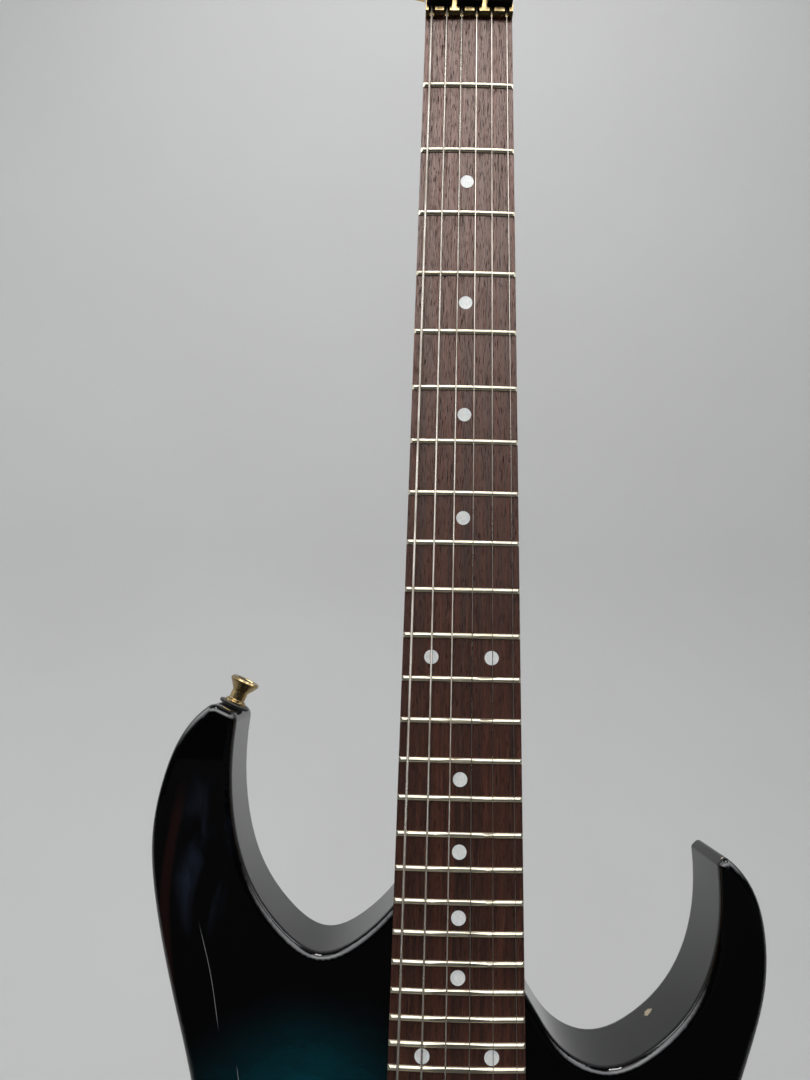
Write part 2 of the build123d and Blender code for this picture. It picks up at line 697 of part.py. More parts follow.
def string_retainer():
    """Half-round bar on two posts that holds the strings down behind the nut."""
    half = RETAINER_RADIUS
    belly = ThreePointArc((-half, 0), (0, -half / 2), (half, 0))
    sides = Polyline((half, 0), (half, 1.6), (-half, 1.6), (-half, 0))
    reach = RETAINER_LEG_X + half
    plane = Plane((-reach, RETAINER_Y, RETAINER_HEIGHT + 1.3), x_dir=(0, 1, 0), z_dir=(1, 0, 0))
    bar = extrude(plane * make_face([belly, sides]), amount=2 * reach)
    places = (-RETAINER_LEG_X, RETAINER_LEG_X)
    legs = [upright_cylinder(x, RETAINER_Y, 2.2, 0, RETAINER_HEIGHT + 2) for x in places]
    holes = [upright_cylinder(x, RETAINER_Y, SMALL_SCREW_RADIUS, -1, 12) for x in places]
    return HEAD_FRAME * cut(joined([bar] + legs), holes)


# ---------------------------------------------------------------- tuners
def tuner_housing(index):
    """Cast case screwed to the back of the headstock, open towards the wood."""
    back = -HEAD_THICKNESS
    case = rounded_box(-8.5, 12, -8.5, 11.5, back - 10.5, back, 2.5)
    case = fillet(case.faces().sort_by(Axis.Z)[0].edges(), 1.5)
    lug = upright_cylinder(2, -LUG_Y, 3.2, back - 2.5, back)
    collar = rod((11, WORM_DISTANCE, WORM_Z), (14, WORM_DISTANCE, WORM_Z), 3.4)
    inside = rounded_box(-6.5, 6.5, -6.5, 10, back - 8.5, back + 1, 1.5)
    bore = rod((5, WORM_DISTANCE, WORM_Z), (15, WORM_DISTANCE, WORM_Z), SHAFT_RADIUS + RUNNING_GAP)
    hole = upright_cylinder(2, -LUG_Y, SMALL_SCREW_RADIUS, back - 3, back + 1)
    return tuner_frame(index) * cut(joined([case, lug, collar]), [inside, bore, hole])


def tuner_bushing(index):
    bore = POST_RADIUS + RUNNING_GAP
    sleeve = [(bore, -8), (BUSHING_RADIUS, -8), (BUSHING_RADIUS, 0),
              (6.6, 0), (6.6, 1.2), (5.6, 1.8), (bore, 1.8)]
    return tuner_frame(index) * turned(sleeve)


def worm():
    """A one-start worm: a circle off its axis, twisted as it runs along X."""
    length = WORM_PITCH * WORM_TURNS
    start = Vector(-length / 2, WORM_DISTANCE, WORM_Z)
    plane = Plane(start, x_dir=(0, 1, 0), z_dir=(1, 0, 0))
    section = (plane * Pos(WORM_THROW, 0) * Circle(WORM_CORE_RADIUS)).face()
    return Solid.extrude_linear_with_rotation(section, start, Vector(length, 0, 0), 360 * WORM_TURNS)


def tuner_button(index):
    """Button, shaft and worm, which turn as one."""
    y, z = WORM_DISTANCE, WORM_Z
    worm_half = WORM_PITCH * WORM_TURNS / 2
    inner = rod((-5.5, y, z), (worm_half + 1, y, z), 1.5)
    shaft = rod((worm_half, y, z), (BUTTON_START + 2, y, z), SHAFT_RADIUS)
    collar = rod((14.2, y, z), (BUTTON_START + 1, y, z), 3.2)
    plan = Pos(BUTTON_START + 7, y, z) * extrude(Ellipse(7.2, 8.6), amount=3.4, both=True)
    paddle = fillet(plan.edges(), 2.4)
    cap_screw = rod((BUTTON_START + 13.5, y, z), (BUTTON_START + 15.2, y, z), 2.4)
    return tuner_frame(index) * joined([worm(), inner, shaft, collar, paddle, cap_screw])


def tuner_post(index):
    """String post with the worm wheel it stands on."""
    half = WHEEL_WIDTH / 2
    step = 360 / WHEEL_TEETH
    root, tip = WHEEL_ROOT_RADIUS, WHEEL_TIP_RADIUS
    flank = ((root, -0.27), (tip, -0.1), (tip, 0.1), (root, 0.27))
    points = []
    for tooth in range(WHEEL_TEETH):
        middle = 90 + tooth * step
        for radius, share in flank:
            angle = math.radians(middle + share * step)
            points.append((radius * math.cos(angle), radius * math.sin(angle)))
    wheel = prism(points, WORM_Z - half, WORM_Z + half)
    foot = WORM_Z - half - 1
    stem = turned(
        [(0, foot), (POST_RADIUS, foot), (POST_RADIUS, 3.4),
         (POST_WAIST_RADIUS, 4.2), (POST_WAIST_RADIUS, 9.8), (POST_RADIUS, 10.8),
         (POST_RADIUS, POST_TOP - 1), (POST_RADIUS - 1, POST_TOP), (0, POST_TOP)]
    )
    eye = rod((-4, 0, 6.2), (4, 0, 6.2), 0.8)
    return tuner_frame(index) * (joined([wheel, stem]) - eye)


# ---------------------------------------------------------------- body hardware
def neck_plate():
    width, length, thickness = NECK_PLATE
    outline = Pos(0, NECK_PLATE_Y, BODY_BACK - thickness) * RectangleRounded(width, length, 5)
    plate = chamfer(extrude(outline, amount=thickness).faces().sort_by(Axis.Z)[0].edges(), 0.5)
    holes = [upright_cylinder(x, y, LARGE_SCREW_RADIUS + FIT, -30, 0) for x, y in neck_screw_xy()]
    return cut(plate, holes)


def strap_button(origin, direction):
    """Flared button with a straight waist for the strap."""
    base = WASHER_THICKNESS
    top = base + STRAP_BUTTON_HEIGHT
    button = turned(
        [(0, base), (5, base), (5, base + 1), (WAIST_RADIUS, base + 2), (WAIST_RADIUS, base + 6),
         (6.9, top - 1.6), (7, top - 0.8), (6.4, top), (4.2, top), (3.8, top - SCREW_RECESS),
         (0, top - SCREW_RECESS)], origin, direction,
    )
    shank = Vector(*origin) + Vector(*direction) * (top - SCREW_RECESS)
    return button - rod(origin, tuple(shank), LARGE_SCREW_RADIUS)


def strap_washer(origin, direction):
    inner, outer, top = LARGE_SCREW_RADIUS, WASHER_RADIUS, WASHER_THICKNESS
    return turned([(inner, 0), (outer, 0), (outer, top), (inner, top)], origin, direction)


def large_screws():
    """Neck screws, strap button screws and spring claw screws."""
    plate_back = BODY_BACK - NECK_PLATE[2]
    neck_length = NECK_SCREW_TIP - plate_back
    screws = []
    for x, y in neck_screw_xy():
        screws.append(screw((x, y, plate_back), (0, 0, -1), LARGE_SCREW_RADIUS, neck_length, 4.2, 2.2))
    for origin, direction in strap_seats():
        seat = Vector(*origin) + Vector(*direction) * (WASHER_THICKNESS + STRAP_BUTTON_HEIGHT - SCREW_RECESS)
        screws.append(screw(tuple(seat), direction, LARGE_SCREW_RADIUS, 36, 3.7, 1.2))
    for x in CLAW_SCREW_X:
        screws.append(screw((x, CLAW_Y, SPRING_Z), (0, -1, 0), LARGE_SCREW_RADIUS, 34, 3.6, 2.5))
    return screws


def small_screws():
    """Every small wood screw in the body and the headstock."""
    screws = [small_screw_at(x, y, z, length, up) for x, y, z, length, up in body_small_screws()]
    for seat, tip in head_small_screws():
        seat = Vector(seat)
        along = seat - Vector(tip)
        screws.append(screw(tuple(seat), tuple(along), SMALL_SCREW_RADIUS, along.length, 2.2, 1.2))
    return screws


def back_cover(outline, holes):
    plate = extrude(Pos(0, 0, BODY_BACK) * outline, amount=COVER_THICKNESS)
    return cut(plate, [upright_cylinder(x, y, SMALL_SCREW_RADIUS, -30, 0) for x, y in holes])


def back_screw_xy():
    return [(x, y) for x, y, z, length, up in body_small_screws() if not up]


def tremolo_cover():
    holes = [(x, y) for x, y in back_screw_xy() if abs(x) < 50]
    plate = back_cover(tremolo_cover_outline(COVER_LIP), holes)
    access = [rounded_box(-26, 26, 141, 159, -30, 0, 4)]
    return cut(plate, access)


def control_cover():
    holes = [(x, y) for x, y in back_screw_xy() if abs(x) > 50]
    return back_cover(control_outline(COVER_LIP), holes)


# ---------------------------------------------------------------- pickups
def pole_xy(y):
    return [(string_share(i) * 50.5, y) for i in range(6)]


def coil_rows():
    return [y + dy for y in HUMBUCKER_Y for dy in (-COIL_OFFSET, COIL_OFFSET)]


def humbucker_bobbins():
    """Four open bobbins, each a wound core between two flanges."""
    bobbins = []
    for y in coil_rows():
        low = stadium(COIL_LENGTH, COIL_WIDTH, PICKUP_PLATE_Z + 1, PICKUP_PLATE_Z + 2.5, y)
        core = stadium(COIL_LENGTH - 2, COIL_WIDTH - 2, PICKUP_PLATE_Z + 1, PICKUP_TOP, y)
        high = stadium(COIL_LENGTH, COIL_WIDTH, PICKUP_TOP - 2.2, PICKUP_TOP, y)
        high = chamfer(high.faces().sort_by(Axis.Z)[-1].edges(), 0.6)
        holes = [upright_cylinder(x, py, POLE_RADIUS, 0, 40) for x, py in pole_xy(y)]
        bobbins.append(cut(joined([low, core, high]), holes))
    return bobbins


def single_coil_cover():
    y = SINGLE_COIL_Y
    shell = stadium(70, 17.5, PICKUP_PLATE_Z + 1, PICKUP_TOP, y)
    shell = fillet(shell.faces().sort_by(Axis.Z)[-1].edges(), 1.2)
    inside = stadium(67, 14.5, PICKUP_PLATE_Z, PICKUP_TOP - 1.5, y)
    holes = [upright_cylinder(x, py, POLE_RADIUS, 0, 40) for x, py in pole_xy(y)]
    return cut(shell, [inside] + holes)


def pickup_poles():
    """Slotted screws in the outer coils, plain slugs and rods in the others."""
    poles = []
    for y in coil_rows() + [SINGLE_COIL_Y]:
        for x, py in pole_xy(y):
            pole = upright_cylinder(x, py, POLE_RADIUS, PICKUP_PLATE_Z + 1, PICKUP_TOP + 0.5)
            if y in (coil_rows()[0], coil_rows()[3]):
                pole -= block(x - 3, x + 3, py - 0.4, py + 0.4, PICKUP_TOP - 0.4, PICKUP_TOP + 1)
            poles.append(pole)
    return poles


def pickup_baseplates():
    plates = []
    for y, width in ((HUMBUCKER_Y[0], 37), (SINGLE_COIL_Y, 16), (HUMBUCKER_Y[1], 37)):
        main = Pos(0, y, PICKUP_PLATE_Z) * RectangleRounded(COIL_LENGTH + 2, width, 3)
        ears = Pos(0, y, PICKUP_PLATE_Z) * RectangleRounded(2 * PICKUP_SCREW_X + 8, 11, 3)
        plate = extrude(main + ears, amount=1)
        holes = [upright_cylinder(sx * PICKUP_SCREW_X, y, SMALL_SCREW_RADIUS, 0, 30) for sx in (-1, 1)]
        plates.append(cut(plate, holes))
    return plates


# ---------------------------------------------------------------- tremolo
def trem_base_plate():
    wedge = (PLATE_THICKNESS / 2) / math.tan(math.radians(KNIFE_ANGLE))
    wide = PLATE_HALF_WIDTH
    plate = block(-wide, wide, PLATE_REAR, PIVOT_Y - wedge, PLATE_BOTTOM, PLATE_TOP)
    plate = fillet(plate.edges().filter_by(Axis.Z).sort_by(Axis.Y)[:2], 6)
    knife = [(PIVOT_Y, PIVOT_Z), (PIVOT_Y - wedge, PLATE_TOP), (PIVOT_Y - wedge - 5, PLATE_TOP),
             (PIVOT_Y - wedge - 5, PLATE_BOTTOM), (PIVOT_Y - wedge, PLATE_BOTTOM)]
    knives = [side_profile(knife, *span) for span in ((-wide, -31), (31, wide))]
    tongue = block(-29, 29, PIVOT_Y - wedge - 5, PIVOT_Y + 5, PLATE_BOTTOM, PLATE_TOP)
    y0, y1 = TUNER_BEAM_Y - 5, TUNER_BEAM_Y + 5
    cheek = [(y0, PLATE_TOP - 1), (y1 + 8, PLATE_TOP - 1), (y1, TUNER_BEAM_TOP), (y0, TUNER_BEAM_TOP)]
    cheeks = [side_profile(cheek, *span) for span in ((-37, -33), (33, 37))]
    beam = block(-35, 35, y0, y1, TUNER_BEAM_BOTTOM, TUNER_BEAM_TOP)
    beam = chamfer(beam.edges().filter_by(Axis.X).sort_by(Axis.Z)[-2:], 1.2)
    whole = joined([plate, tongue, beam] + knives + cheeks)
    tools = [upright_cylinder(saddle_x(i), HOLD_SCREW_Y, 1.5, 20, 30) for i in range(6)]
    tools.append(upright_cylinder(ARM_X, ARM_Y, 4.5, 20, 30))
    for i in range(6):
        origin, direction = fine_tuner_axis(i)
        low = Vector(*origin) - Vector(*direction) * 12
        high = Vector(*origin) + Vector(*direction) * 6
        tools.append(rod(tuple(low), tuple(high), 2.06))
    return cut(whole, tools)


def fine_tuner_axis(index):
    """Point on the top of the beam and the direction a fine tuner leans."""
    lean = math.radians(FINE_TUNER_TILT)
    return (saddle_x(index), TUNER_BEAM_Y - 1, TUNER_BEAM_TOP), (0, -math.sin(lean), math.cos(lean))


def fine_tuner(index):
    """Thumb screw with a fluted head; its tip bears on the lock screw below it."""
    origin, direction = fine_tuner_axis(index)
    profile = [(0, -6.9), (0.8, -6.7), (2, -5.9), (2, 1), (4, 1.6),
               (4.2, 2.6), (4.2, 8), (3.6, 9.2), (0, 9.6)]
    body = turned(profile, origin, direction)
    plane = Plane(Vector(*origin), x_dir=(1, 0, 0), z_dir=Vector(*direction))
    flutes = []
    for k in range(FINE_TUNER_FLUTES):
        angle = 2 * math.pi * k / FINE_TUNER_FLUTES
        flute = upright_cylinder(4.5 * math.cos(angle), 4.5 * math.sin(angle), 0.55, 2, 12)
        flutes.append(plane.location * flute)
    return cut(body, flutes)


def trem_block():
    body = block(-38, 38, BLOCK_REAR, BLOCK_FRONT, BLOCK_BOTTOM, PLATE_BOTTOM)
    body = chamfer(body.edges().filter_by(Axis.X).sort_by(Axis.Z)[:2], 1.5)
    holes = [rod((x, BLOCK_FRONT - 6, SPRING_Z), (x, BLOCK_FRONT + 1, SPRING_Z), 1.2) for x in SPRING_X]
    return cut(body, holes)


def saddle(index):
    x = saddle_x(index)
    crest = SADDLE_STRING_Z - STRING_DIAMETERS[index] / 2 - 0.08
    rise = (SADDLE_Y + 3.5, crest - 1.6)
    fall = (SADDLE_Y - 3.5, crest - 1.6)
    profile = make_face([
        Polyline((167, PLATE_TOP), (167, PLATE_TOP + 2), (160.5, PLATE_TOP + 2), rise),
        ThreePointArc(rise, (SADDLE_Y, crest), fall),
        Polyline(fall, (147.5, crest - 2.6), (136, crest - 2.2), (120, 33), (118, 31.5)),
        Polyline((118, 31.5), (118, PLATE_TOP), (167, PLATE_TOP)),
    ])
    plane = Plane((x - SADDLE_HALF_WIDTH, 0, 0), x_dir=(0, 1, 0), z_dir=(1, 0, 0))
    body = extrude(plane * profile, amount=2 * SADDLE_HALF_WIDTH)
    tools = [
        block(x - 4.1, x + 4.1, 136, 147.5, 26.3, 45),
        rod((x, 110, LOCK_SCREW_Z), (x, 137, LOCK_SCREW_Z), 2.15),
        upright_cylinder(x, HOLD_SCREW_Y, 1.5, 20, 40),
    ]
    return cut(body, tools)


def string_clamp_block(index):
    x = saddle_x(index)
    body = block(x - 4, x + 4, CLAMP_BLOCK_Y, 147.4 - STRING_DIAMETERS[index], 26.4, 31.2)
    return chamfer(body.faces().sort_by(Axis.Z)[-1].edges(), 0.6)


def saddle_screws():
    """Six hold-down screws and six long string-lock screws."""
    screws = []
    for i in range(6):
        x = saddle_x(i)
        screws.append(screw((x, HOLD_SCREW_Y, PLATE_TOP + 2), (0, 0, 1), 1.5, 4.6, 2.7, 2.6))
        tip = CLAMP_BLOCK_Y - LOCK_SCREW_Y - TOUCH
        head = (x, LOCK_SCREW_Y, LOCK_SCREW_Z)
        lock = turned([(0, 0), (3, 0), (3, 25), (2.1, 26), (2.1, tip), (0, tip)], head, (0, 1, 0))
        socket = extrude(Plane(head, z_dir=(0, 1, 0)) * RegularPolygon(1.7, 6), amount=4)
        screws.append(lock - socket)
    return screws


def arm_socket():
    """Threaded collar in the base plate that takes the arm."""
    bore = ARM_RADIUS + RUNNING_GAP
    return turned([(bore, -5.5), (6, -5.5), (6, 0), (4.5, 0), (4.5, PLATE_THICKNESS), (6.5, PLATE_THICKNESS),
                   (6.5, 10), (5.5, 11), (bore, 11)], (ARM_X, ARM_Y, PLATE_BOTTOM))


def trem_arm():
    """Bent bar that swivels in its socket, with a soft tip."""
    foot = (ARM_X, ARM_Y, PLATE_BOTTOM - 5)
    bend = 16.0
    top = ARM_HEIGHT - 10
    swing = math.radians(ARM_LEAN)
    lean = Vector(math.sin(swing), math.cos(swing), 0)
    knee = Vector(ARM_X, ARM_Y, top) + lean * bend + Vector(0, 0, bend * 0.55)
    tip = knee + lean * 118 + Vector(0, 0, -6)
    rise_end = (ARM_X, ARM_Y, top - 10)
    elbow = Spline(rise_end, tuple(knee), tangents=[(0, 0, 1), tuple(tip - knee)])
    path = Wire([Line(foot, rise_end), elbow, Line(tuple(knee), tuple(tip))])
    bar = sweep(Plane(Vector(*foot), z_dir=(0, 0, 1)) * Circle(ARM_RADIUS), path=path)
    along = (tip - knee).normalized()
    cap_profile = [(0, 0), (3.6, 0), (4.2, 3), (4.2, 18), (2.5, 22), (0, 22.5)]
    cap = turned(cap_profile, tuple(tip - along * 10), tuple(along))
    collar_seat = (ARM_X, ARM_Y, PLATE_BOTTOM + 11.1)
    collar = turned([(0, 0), (4.6, 0), (4.6, 3), (3.2, 4.5), (0, 4.5)], collar_seat)
    return joined([bar, cap, collar])


def trem_stud(side):
    flank = 1.7
    rim = 5.0
    foot = STUD_FOOT_Z - PIVOT_Z
    seat = BODY_TOP - PIVOT_Z
    centre = (side * STUD_X, STUD_Y, PIVOT_Z)
    post = turned(
        [(0, foot), (STUD_RADIUS, foot), (STUD_RADIUS, seat), (rim, seat), (rim, -flank),
         (STUD_GROOVE_RADIUS, 0), (rim, flank), (rim, flank + 1.5), (rim - 1, flank + 2.2), (0, flank + 2.2)],
        centre,
    )
    return post - extrude(Pos(*centre) * Pos(0, 0, flank) * RegularPolygon(2, 6), amount=4)


def trem_spring(x):
    """One spring: a coil with a straight hook at each end."""
    length = SPRING_PITCH * SPRING_TURNS
    start_y = BLOCK_FRONT + 8
    coil_plane = Plane((x, start_y, SPRING_Z), x_dir=(1, 0, 0), z_dir=(0, 1, 0))
    path = coil_plane * Helix(SPRING_PITCH, length, SPRING_RADIUS)
    section = Plane(path @ 0, z_dir=path % 0) * Circle(SPRING_WIRE)
    coil = sweep(section, path=path, is_frenet=True)
    near = rod((x, BLOCK_FRONT - 5, SPRING_Z), (x, start_y, SPRING_Z), SPRING_WIRE)
    near_link = rod((x, start_y, SPRING_Z), (x + SPRING_RADIUS, start_y, SPRING_Z), SPRING_WIRE)
    end_y = start_y + length
    far = rod((x, end_y, SPRING_Z), (x, CLAW_Y + 3.4, SPRING_Z), SPRING_WIRE)
    far_link = rod((x, end_y, SPRING_Z), (x + SPRING_RADIUS, end_y, SPRING_Z), SPRING_WIRE)
    knees = [Pos(*p) * Sphere(SPRING_WIRE) for p in ((x, start_y, SPRING_Z), (x, end_y, SPRING_Z))]
    return joined([coil, near, near_link, far, far_link] + knees)


def spring_claw():
    body = block(-24, 24, CLAW_Y, CLAW_Y + 2, SPRING_Z - 5.5, SPRING_Z + 5.5)
    body = fillet(body.edges().filter_by(Axis.Y), 2)
    holes = [(x, LARGE_SCREW_RADIUS + FIT) for x in CLAW_SCREW_X]
    holes += [(x, SPRING_WIRE + TOUCH) for x in SPRING_X]
    tools = [rod((x, CLAW_Y - 1, SPRING_Z), (x, CLAW_Y + 5, SPRING_Z), radius) for x, radius in holes]
    return cut(body, tools)


# ---------------------------------------------------------------- controls
def knob(x, y):
    """Fluted knob with the shaft it turns."""
    base = BODY_TOP + 0.6
    top = base + KNOB_HEIGHT
    profile = [(5.5, base + 4), (5.5, base), (KNOB_RADIUS, base), (KNOB_RADIUS, top - 1.2),
               (KNOB_RADIUS - 1.2, top), (0, top), (0, base + 4)]
    body = turned(profile, (x, y, 0))
    grooves = []
    for k in range(KNOB_GROOVES):
        angle = 2 * math.pi * k / KNOB_GROOVES
        gx = x + (KNOB_RADIUS + 0.25) * math.cos(angle)
        gy = y + (KNOB_RADIUS + 0.25) * math.sin(angle)
        grooves.append(upright_cylinder(gx, gy, 0.6, base + 1.5, top - 2.2))
    shaft = upright_cylinder(x, y, POT_SHAFT_RADIUS, 4, base + 5)
    return joined([cut(body, grooves), shaft])


def pot(x, y):
    """Potentiometer case with its threaded bush."""
    bore = POT_SHAFT_RADIUS + RUNNING_GAP
    case = turned([(0, 0), (8.5, 0), (8.5, 9), (3.9, 9), (3.9, 20.5), (bore, 20.5), (bore, 0.9), (0, 0.9)],
                  (x, y, CONTROL_CAVITY_TOP - 9))
    lug_z = CONTROL_CAVITY_TOP - 7
    lugs = [block(x + dx - 1, x + dx + 1, y + 7, y + 14, lug_z, lug_z + 1) for dx in (-5, 0, 5)]
    return joined([case] + lugs)


def selector_switch():
    x, y = SELECTOR_XY
    frame = block(x - 6, x + 6, y - 19, y + 19, -10, CONTROL_CAVITY_TOP)
    tools = [block(x - 2.2, x + 2.2, y - 10.5, y + 10.5, -5, CONTROL_CAVITY_TOP + 1)]
    tools += [upright_cylinder(x, y + dy, SMALL_SCREW_RADIUS, 5, 30) for dy in (-14, 14)]
    pin = rod((x - 4, y, LEVER_PIVOT_Z), (x + 4, y, LEVER_PIVOT_Z), LEVER_PIN_RADIUS)
    return joined([cut(frame, tools), pin])


def selector_lever():
    x, y = SELECTOR_XY
    blade = block(x - 0.7, x + 0.7, y - 2.2, y + 2.2, LEVER_PIVOT_Z - 4, 28)
    hub = rod((x - 1.6, y, LEVER_PIVOT_Z), (x + 1.6, y, LEVER_PIVOT_Z), 3)
    tip = turned([(0, 0), (2.2, 0), (3.8, 3), (4, 7), (3, 10.5), (0, 11.5)], (x, y, 25))
    eye = rod((x - 3, y, LEVER_PIVOT_Z), (x + 3, y, LEVER_PIVOT_Z), LEVER_PIN_RADIUS + RUNNING_GAP)
    return joined([blade, hub, tip]) - eye


def output_jack():
    """Barrel jack let into the edge of the body, with a round flange."""
    profile = [(JACK_BORE_RADIUS, -JACK_LENGTH), (JACK_RADIUS, -JACK_LENGTH), (JACK_RADIUS, -2.5),
               (12, -2.5), (12, -0.6), (11.4, 0), (JACK_BORE_RADIUS, 0)]
    return turned(profile, (JACK_FACE_X, JACK_Y, 0), (1, 0, 0))


# ---------------------------------------------------------------- strings
def wrap_radius(index):
    """Radius of a string's turns round its post, to the middle of the string."""
    return POST_WAIST_RADIUS + STRING_DIAMETERS[index] / 2 + 0.3


def string_path(index):
    """Points along a string from its clamp in the saddle to its tuner post."""
    radius = STRING_DIAMETERS[index] / 2
    post = post_xy(index)
    clamp_y = 147.45 - radius
    past_nut = NUT_DEPTH / SCALE_LENGTH
    spread = saddle_x(index) - nut_x(index)
    fall = SADDLE_STRING_Z - NUT_STRING_Z
    return [
        (saddle_x(index), clamp_y, 27),
        (saddle_x(index), clamp_y, SADDLE_STRING_Z - 1.2 + radius),
        (saddle_x(index), SADDLE_Y, SADDLE_STRING_Z),
        (nut_x(index) - past_nut * spread, NUT_Y + NUT_DEPTH, NUT_STRING_Z - past_nut * fall),
        tuple(on_head(nut_x(index), RETAINER_Y, RETAINER_HEIGHT - radius - 0.1)),
        tuple(on_head(post[0] + wrap_radius(index), post[1], STRING_HEIGHT_AT_POST)),
    ]


def string(index):
    """One string, mitred where it bends over the saddle, the nut and the retainer."""
    points = string_path(index)
    start = Vector(*points[0])
    section = Plane(start, z_dir=Vector(*points[1]) - start) * Circle(STRING_DIAMETERS[index] / 2)
    return sweep(section, path=Polyline(*points), transition=Transition.RIGHT)


# ---------------------------------------------------------------- writing
def stand_up(shape):
    """From the bench to upright: the neck points up and the face looks along -Y."""
    return Rot(90, 0, 0) * shape


def write(name, pieces):
    pieces = pieces if isinstance(pieces, list) else [pieces]
    solids = [solid for piece in pieces for solid in stand_up(piece).solids()]
    shape = solids[0] if len(solids) == 1 else Compound(children=solids)
    export_step(shape, os.path.join("parts", name + ".step"))
    print(name, len(solids))


def main():
    os.makedirs("parts", exist_ok=True)
    cutters = body_cutters()
    board = fretboard_blank()
    write("body_core", body_core(cutters))
    write("top_cap", top_cap(cutters))
    write("neck", neck())
    write("fretboard", fretboard(board))
    write("frets", frets())
    write("position_dots", position_dots(board))
    write("truss_rod", truss_rod())
    write("truss_rod_cover", truss_rod_cover())
    write("nut_base", nut_base())
    write("nut_clamps", nut_clamps())
    write("nut_screws", nut_screws())
    write("string_retainer", string_retainer())
    write("tuner_housings", [tuner_housing(i) for i in range(6)])
    write("tuner_bushings", [tuner_bushing(i) for i in range(6)])
    write("neck_plate", neck_plate())
    write("strap_buttons", [strap_button(*seat) for seat in strap_seats()])
    write("strap_washers", [strap_washer(*seat) for seat in strap_seats()])
    write("humbucker_bobbins", humbucker_bobbins())
    write("single_coil_cover", single_coil_cover())
    write("pickup_poles", pickup_poles())
    write("pickup_baseplates", pickup_baseplates())
    write("trem_base_plate", trem_base_plate())
    write("trem_block", trem_block())
    write("saddles", [saddle(i) for i in range(6)])
    write("string_clamp_blocks", [string_clamp_block(i) for i in range(6)])
    write("saddle_screws", saddle_screws())
    write("trem_arm", trem_arm())
    write("arm_socket", arm_socket())
    write("trem_studs", [trem_stud(side) for side in (-1, 1)])
    write("trem_springs", [trem_spring(x) for x in SPRING_X])
    write("spring_claw", spring_claw())
    write("volume_knob", knob(*VOLUME_XY))
    write("tone_knob", knob(*TONE_XY))
    write("pots", [pot(*VOLUME_XY), pot(*TONE_XY)])
    write("selector_switch", selector_switch())
    write("selector_lever", selector_lever())
    write("output_jack", output_jack())
    write("control_cover", control_cover())
    write("trem_cover", tremolo_cover())
    write("small_screws", small_screws())
    write("large_screws", large_screws())
    write("strings", [string(i) for i in range(6)])
    for i in range(6):
        write(f"tuner_button_{i + 1}", tuner_button(i))
        write(f"tuner_post_{i + 1}", tuner_post(i))
        write(f"fine_tuner_{i + 1}", fine_tuner(i))


main()
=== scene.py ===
import bpy
import json
import math
from mathutils import Matrix, Quaternion, Vector, noise


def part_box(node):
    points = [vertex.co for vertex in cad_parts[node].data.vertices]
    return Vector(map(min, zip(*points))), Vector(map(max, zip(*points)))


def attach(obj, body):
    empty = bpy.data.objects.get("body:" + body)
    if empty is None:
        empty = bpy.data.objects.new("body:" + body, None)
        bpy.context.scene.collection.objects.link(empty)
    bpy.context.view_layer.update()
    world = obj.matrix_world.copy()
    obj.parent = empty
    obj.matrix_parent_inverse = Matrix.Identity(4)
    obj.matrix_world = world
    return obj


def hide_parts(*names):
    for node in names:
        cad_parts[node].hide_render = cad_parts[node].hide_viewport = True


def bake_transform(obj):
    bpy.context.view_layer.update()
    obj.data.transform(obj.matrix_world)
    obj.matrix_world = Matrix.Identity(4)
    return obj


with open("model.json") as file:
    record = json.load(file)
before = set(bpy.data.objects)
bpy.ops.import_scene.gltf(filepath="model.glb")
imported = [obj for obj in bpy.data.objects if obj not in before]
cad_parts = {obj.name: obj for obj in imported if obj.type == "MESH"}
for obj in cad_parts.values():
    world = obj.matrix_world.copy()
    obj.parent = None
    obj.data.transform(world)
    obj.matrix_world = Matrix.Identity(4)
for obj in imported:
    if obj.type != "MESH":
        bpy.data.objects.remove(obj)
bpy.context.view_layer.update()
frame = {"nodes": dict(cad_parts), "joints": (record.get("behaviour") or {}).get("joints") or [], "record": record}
NODES = frame["nodes"]
RECORD = frame["record"]
JOINTS = {joint["name"]: joint for joint in frame["joints"]}
MOUNTS = {mount["name"]: mount for mount in RECORD["mounts"]}
MM = 0.001
STRING_DIAMETERS = (1.17, 0.91, 0.66, 0.43, 0.33, 0.25)
WOUND_STRINGS = 3


# ---------------------------------------------------------------- material wiring
def tone(red, green, blue):
    """A colour given as the 0-255 values it shows on a screen."""
    linear = []
    for value in (red, green, blue):
        share = value / 255
        linear.append(share / 12.92 if share <= 0.04045 else ((share + 0.055) / 1.055) ** 2.4)
    return (*linear, 1.0)


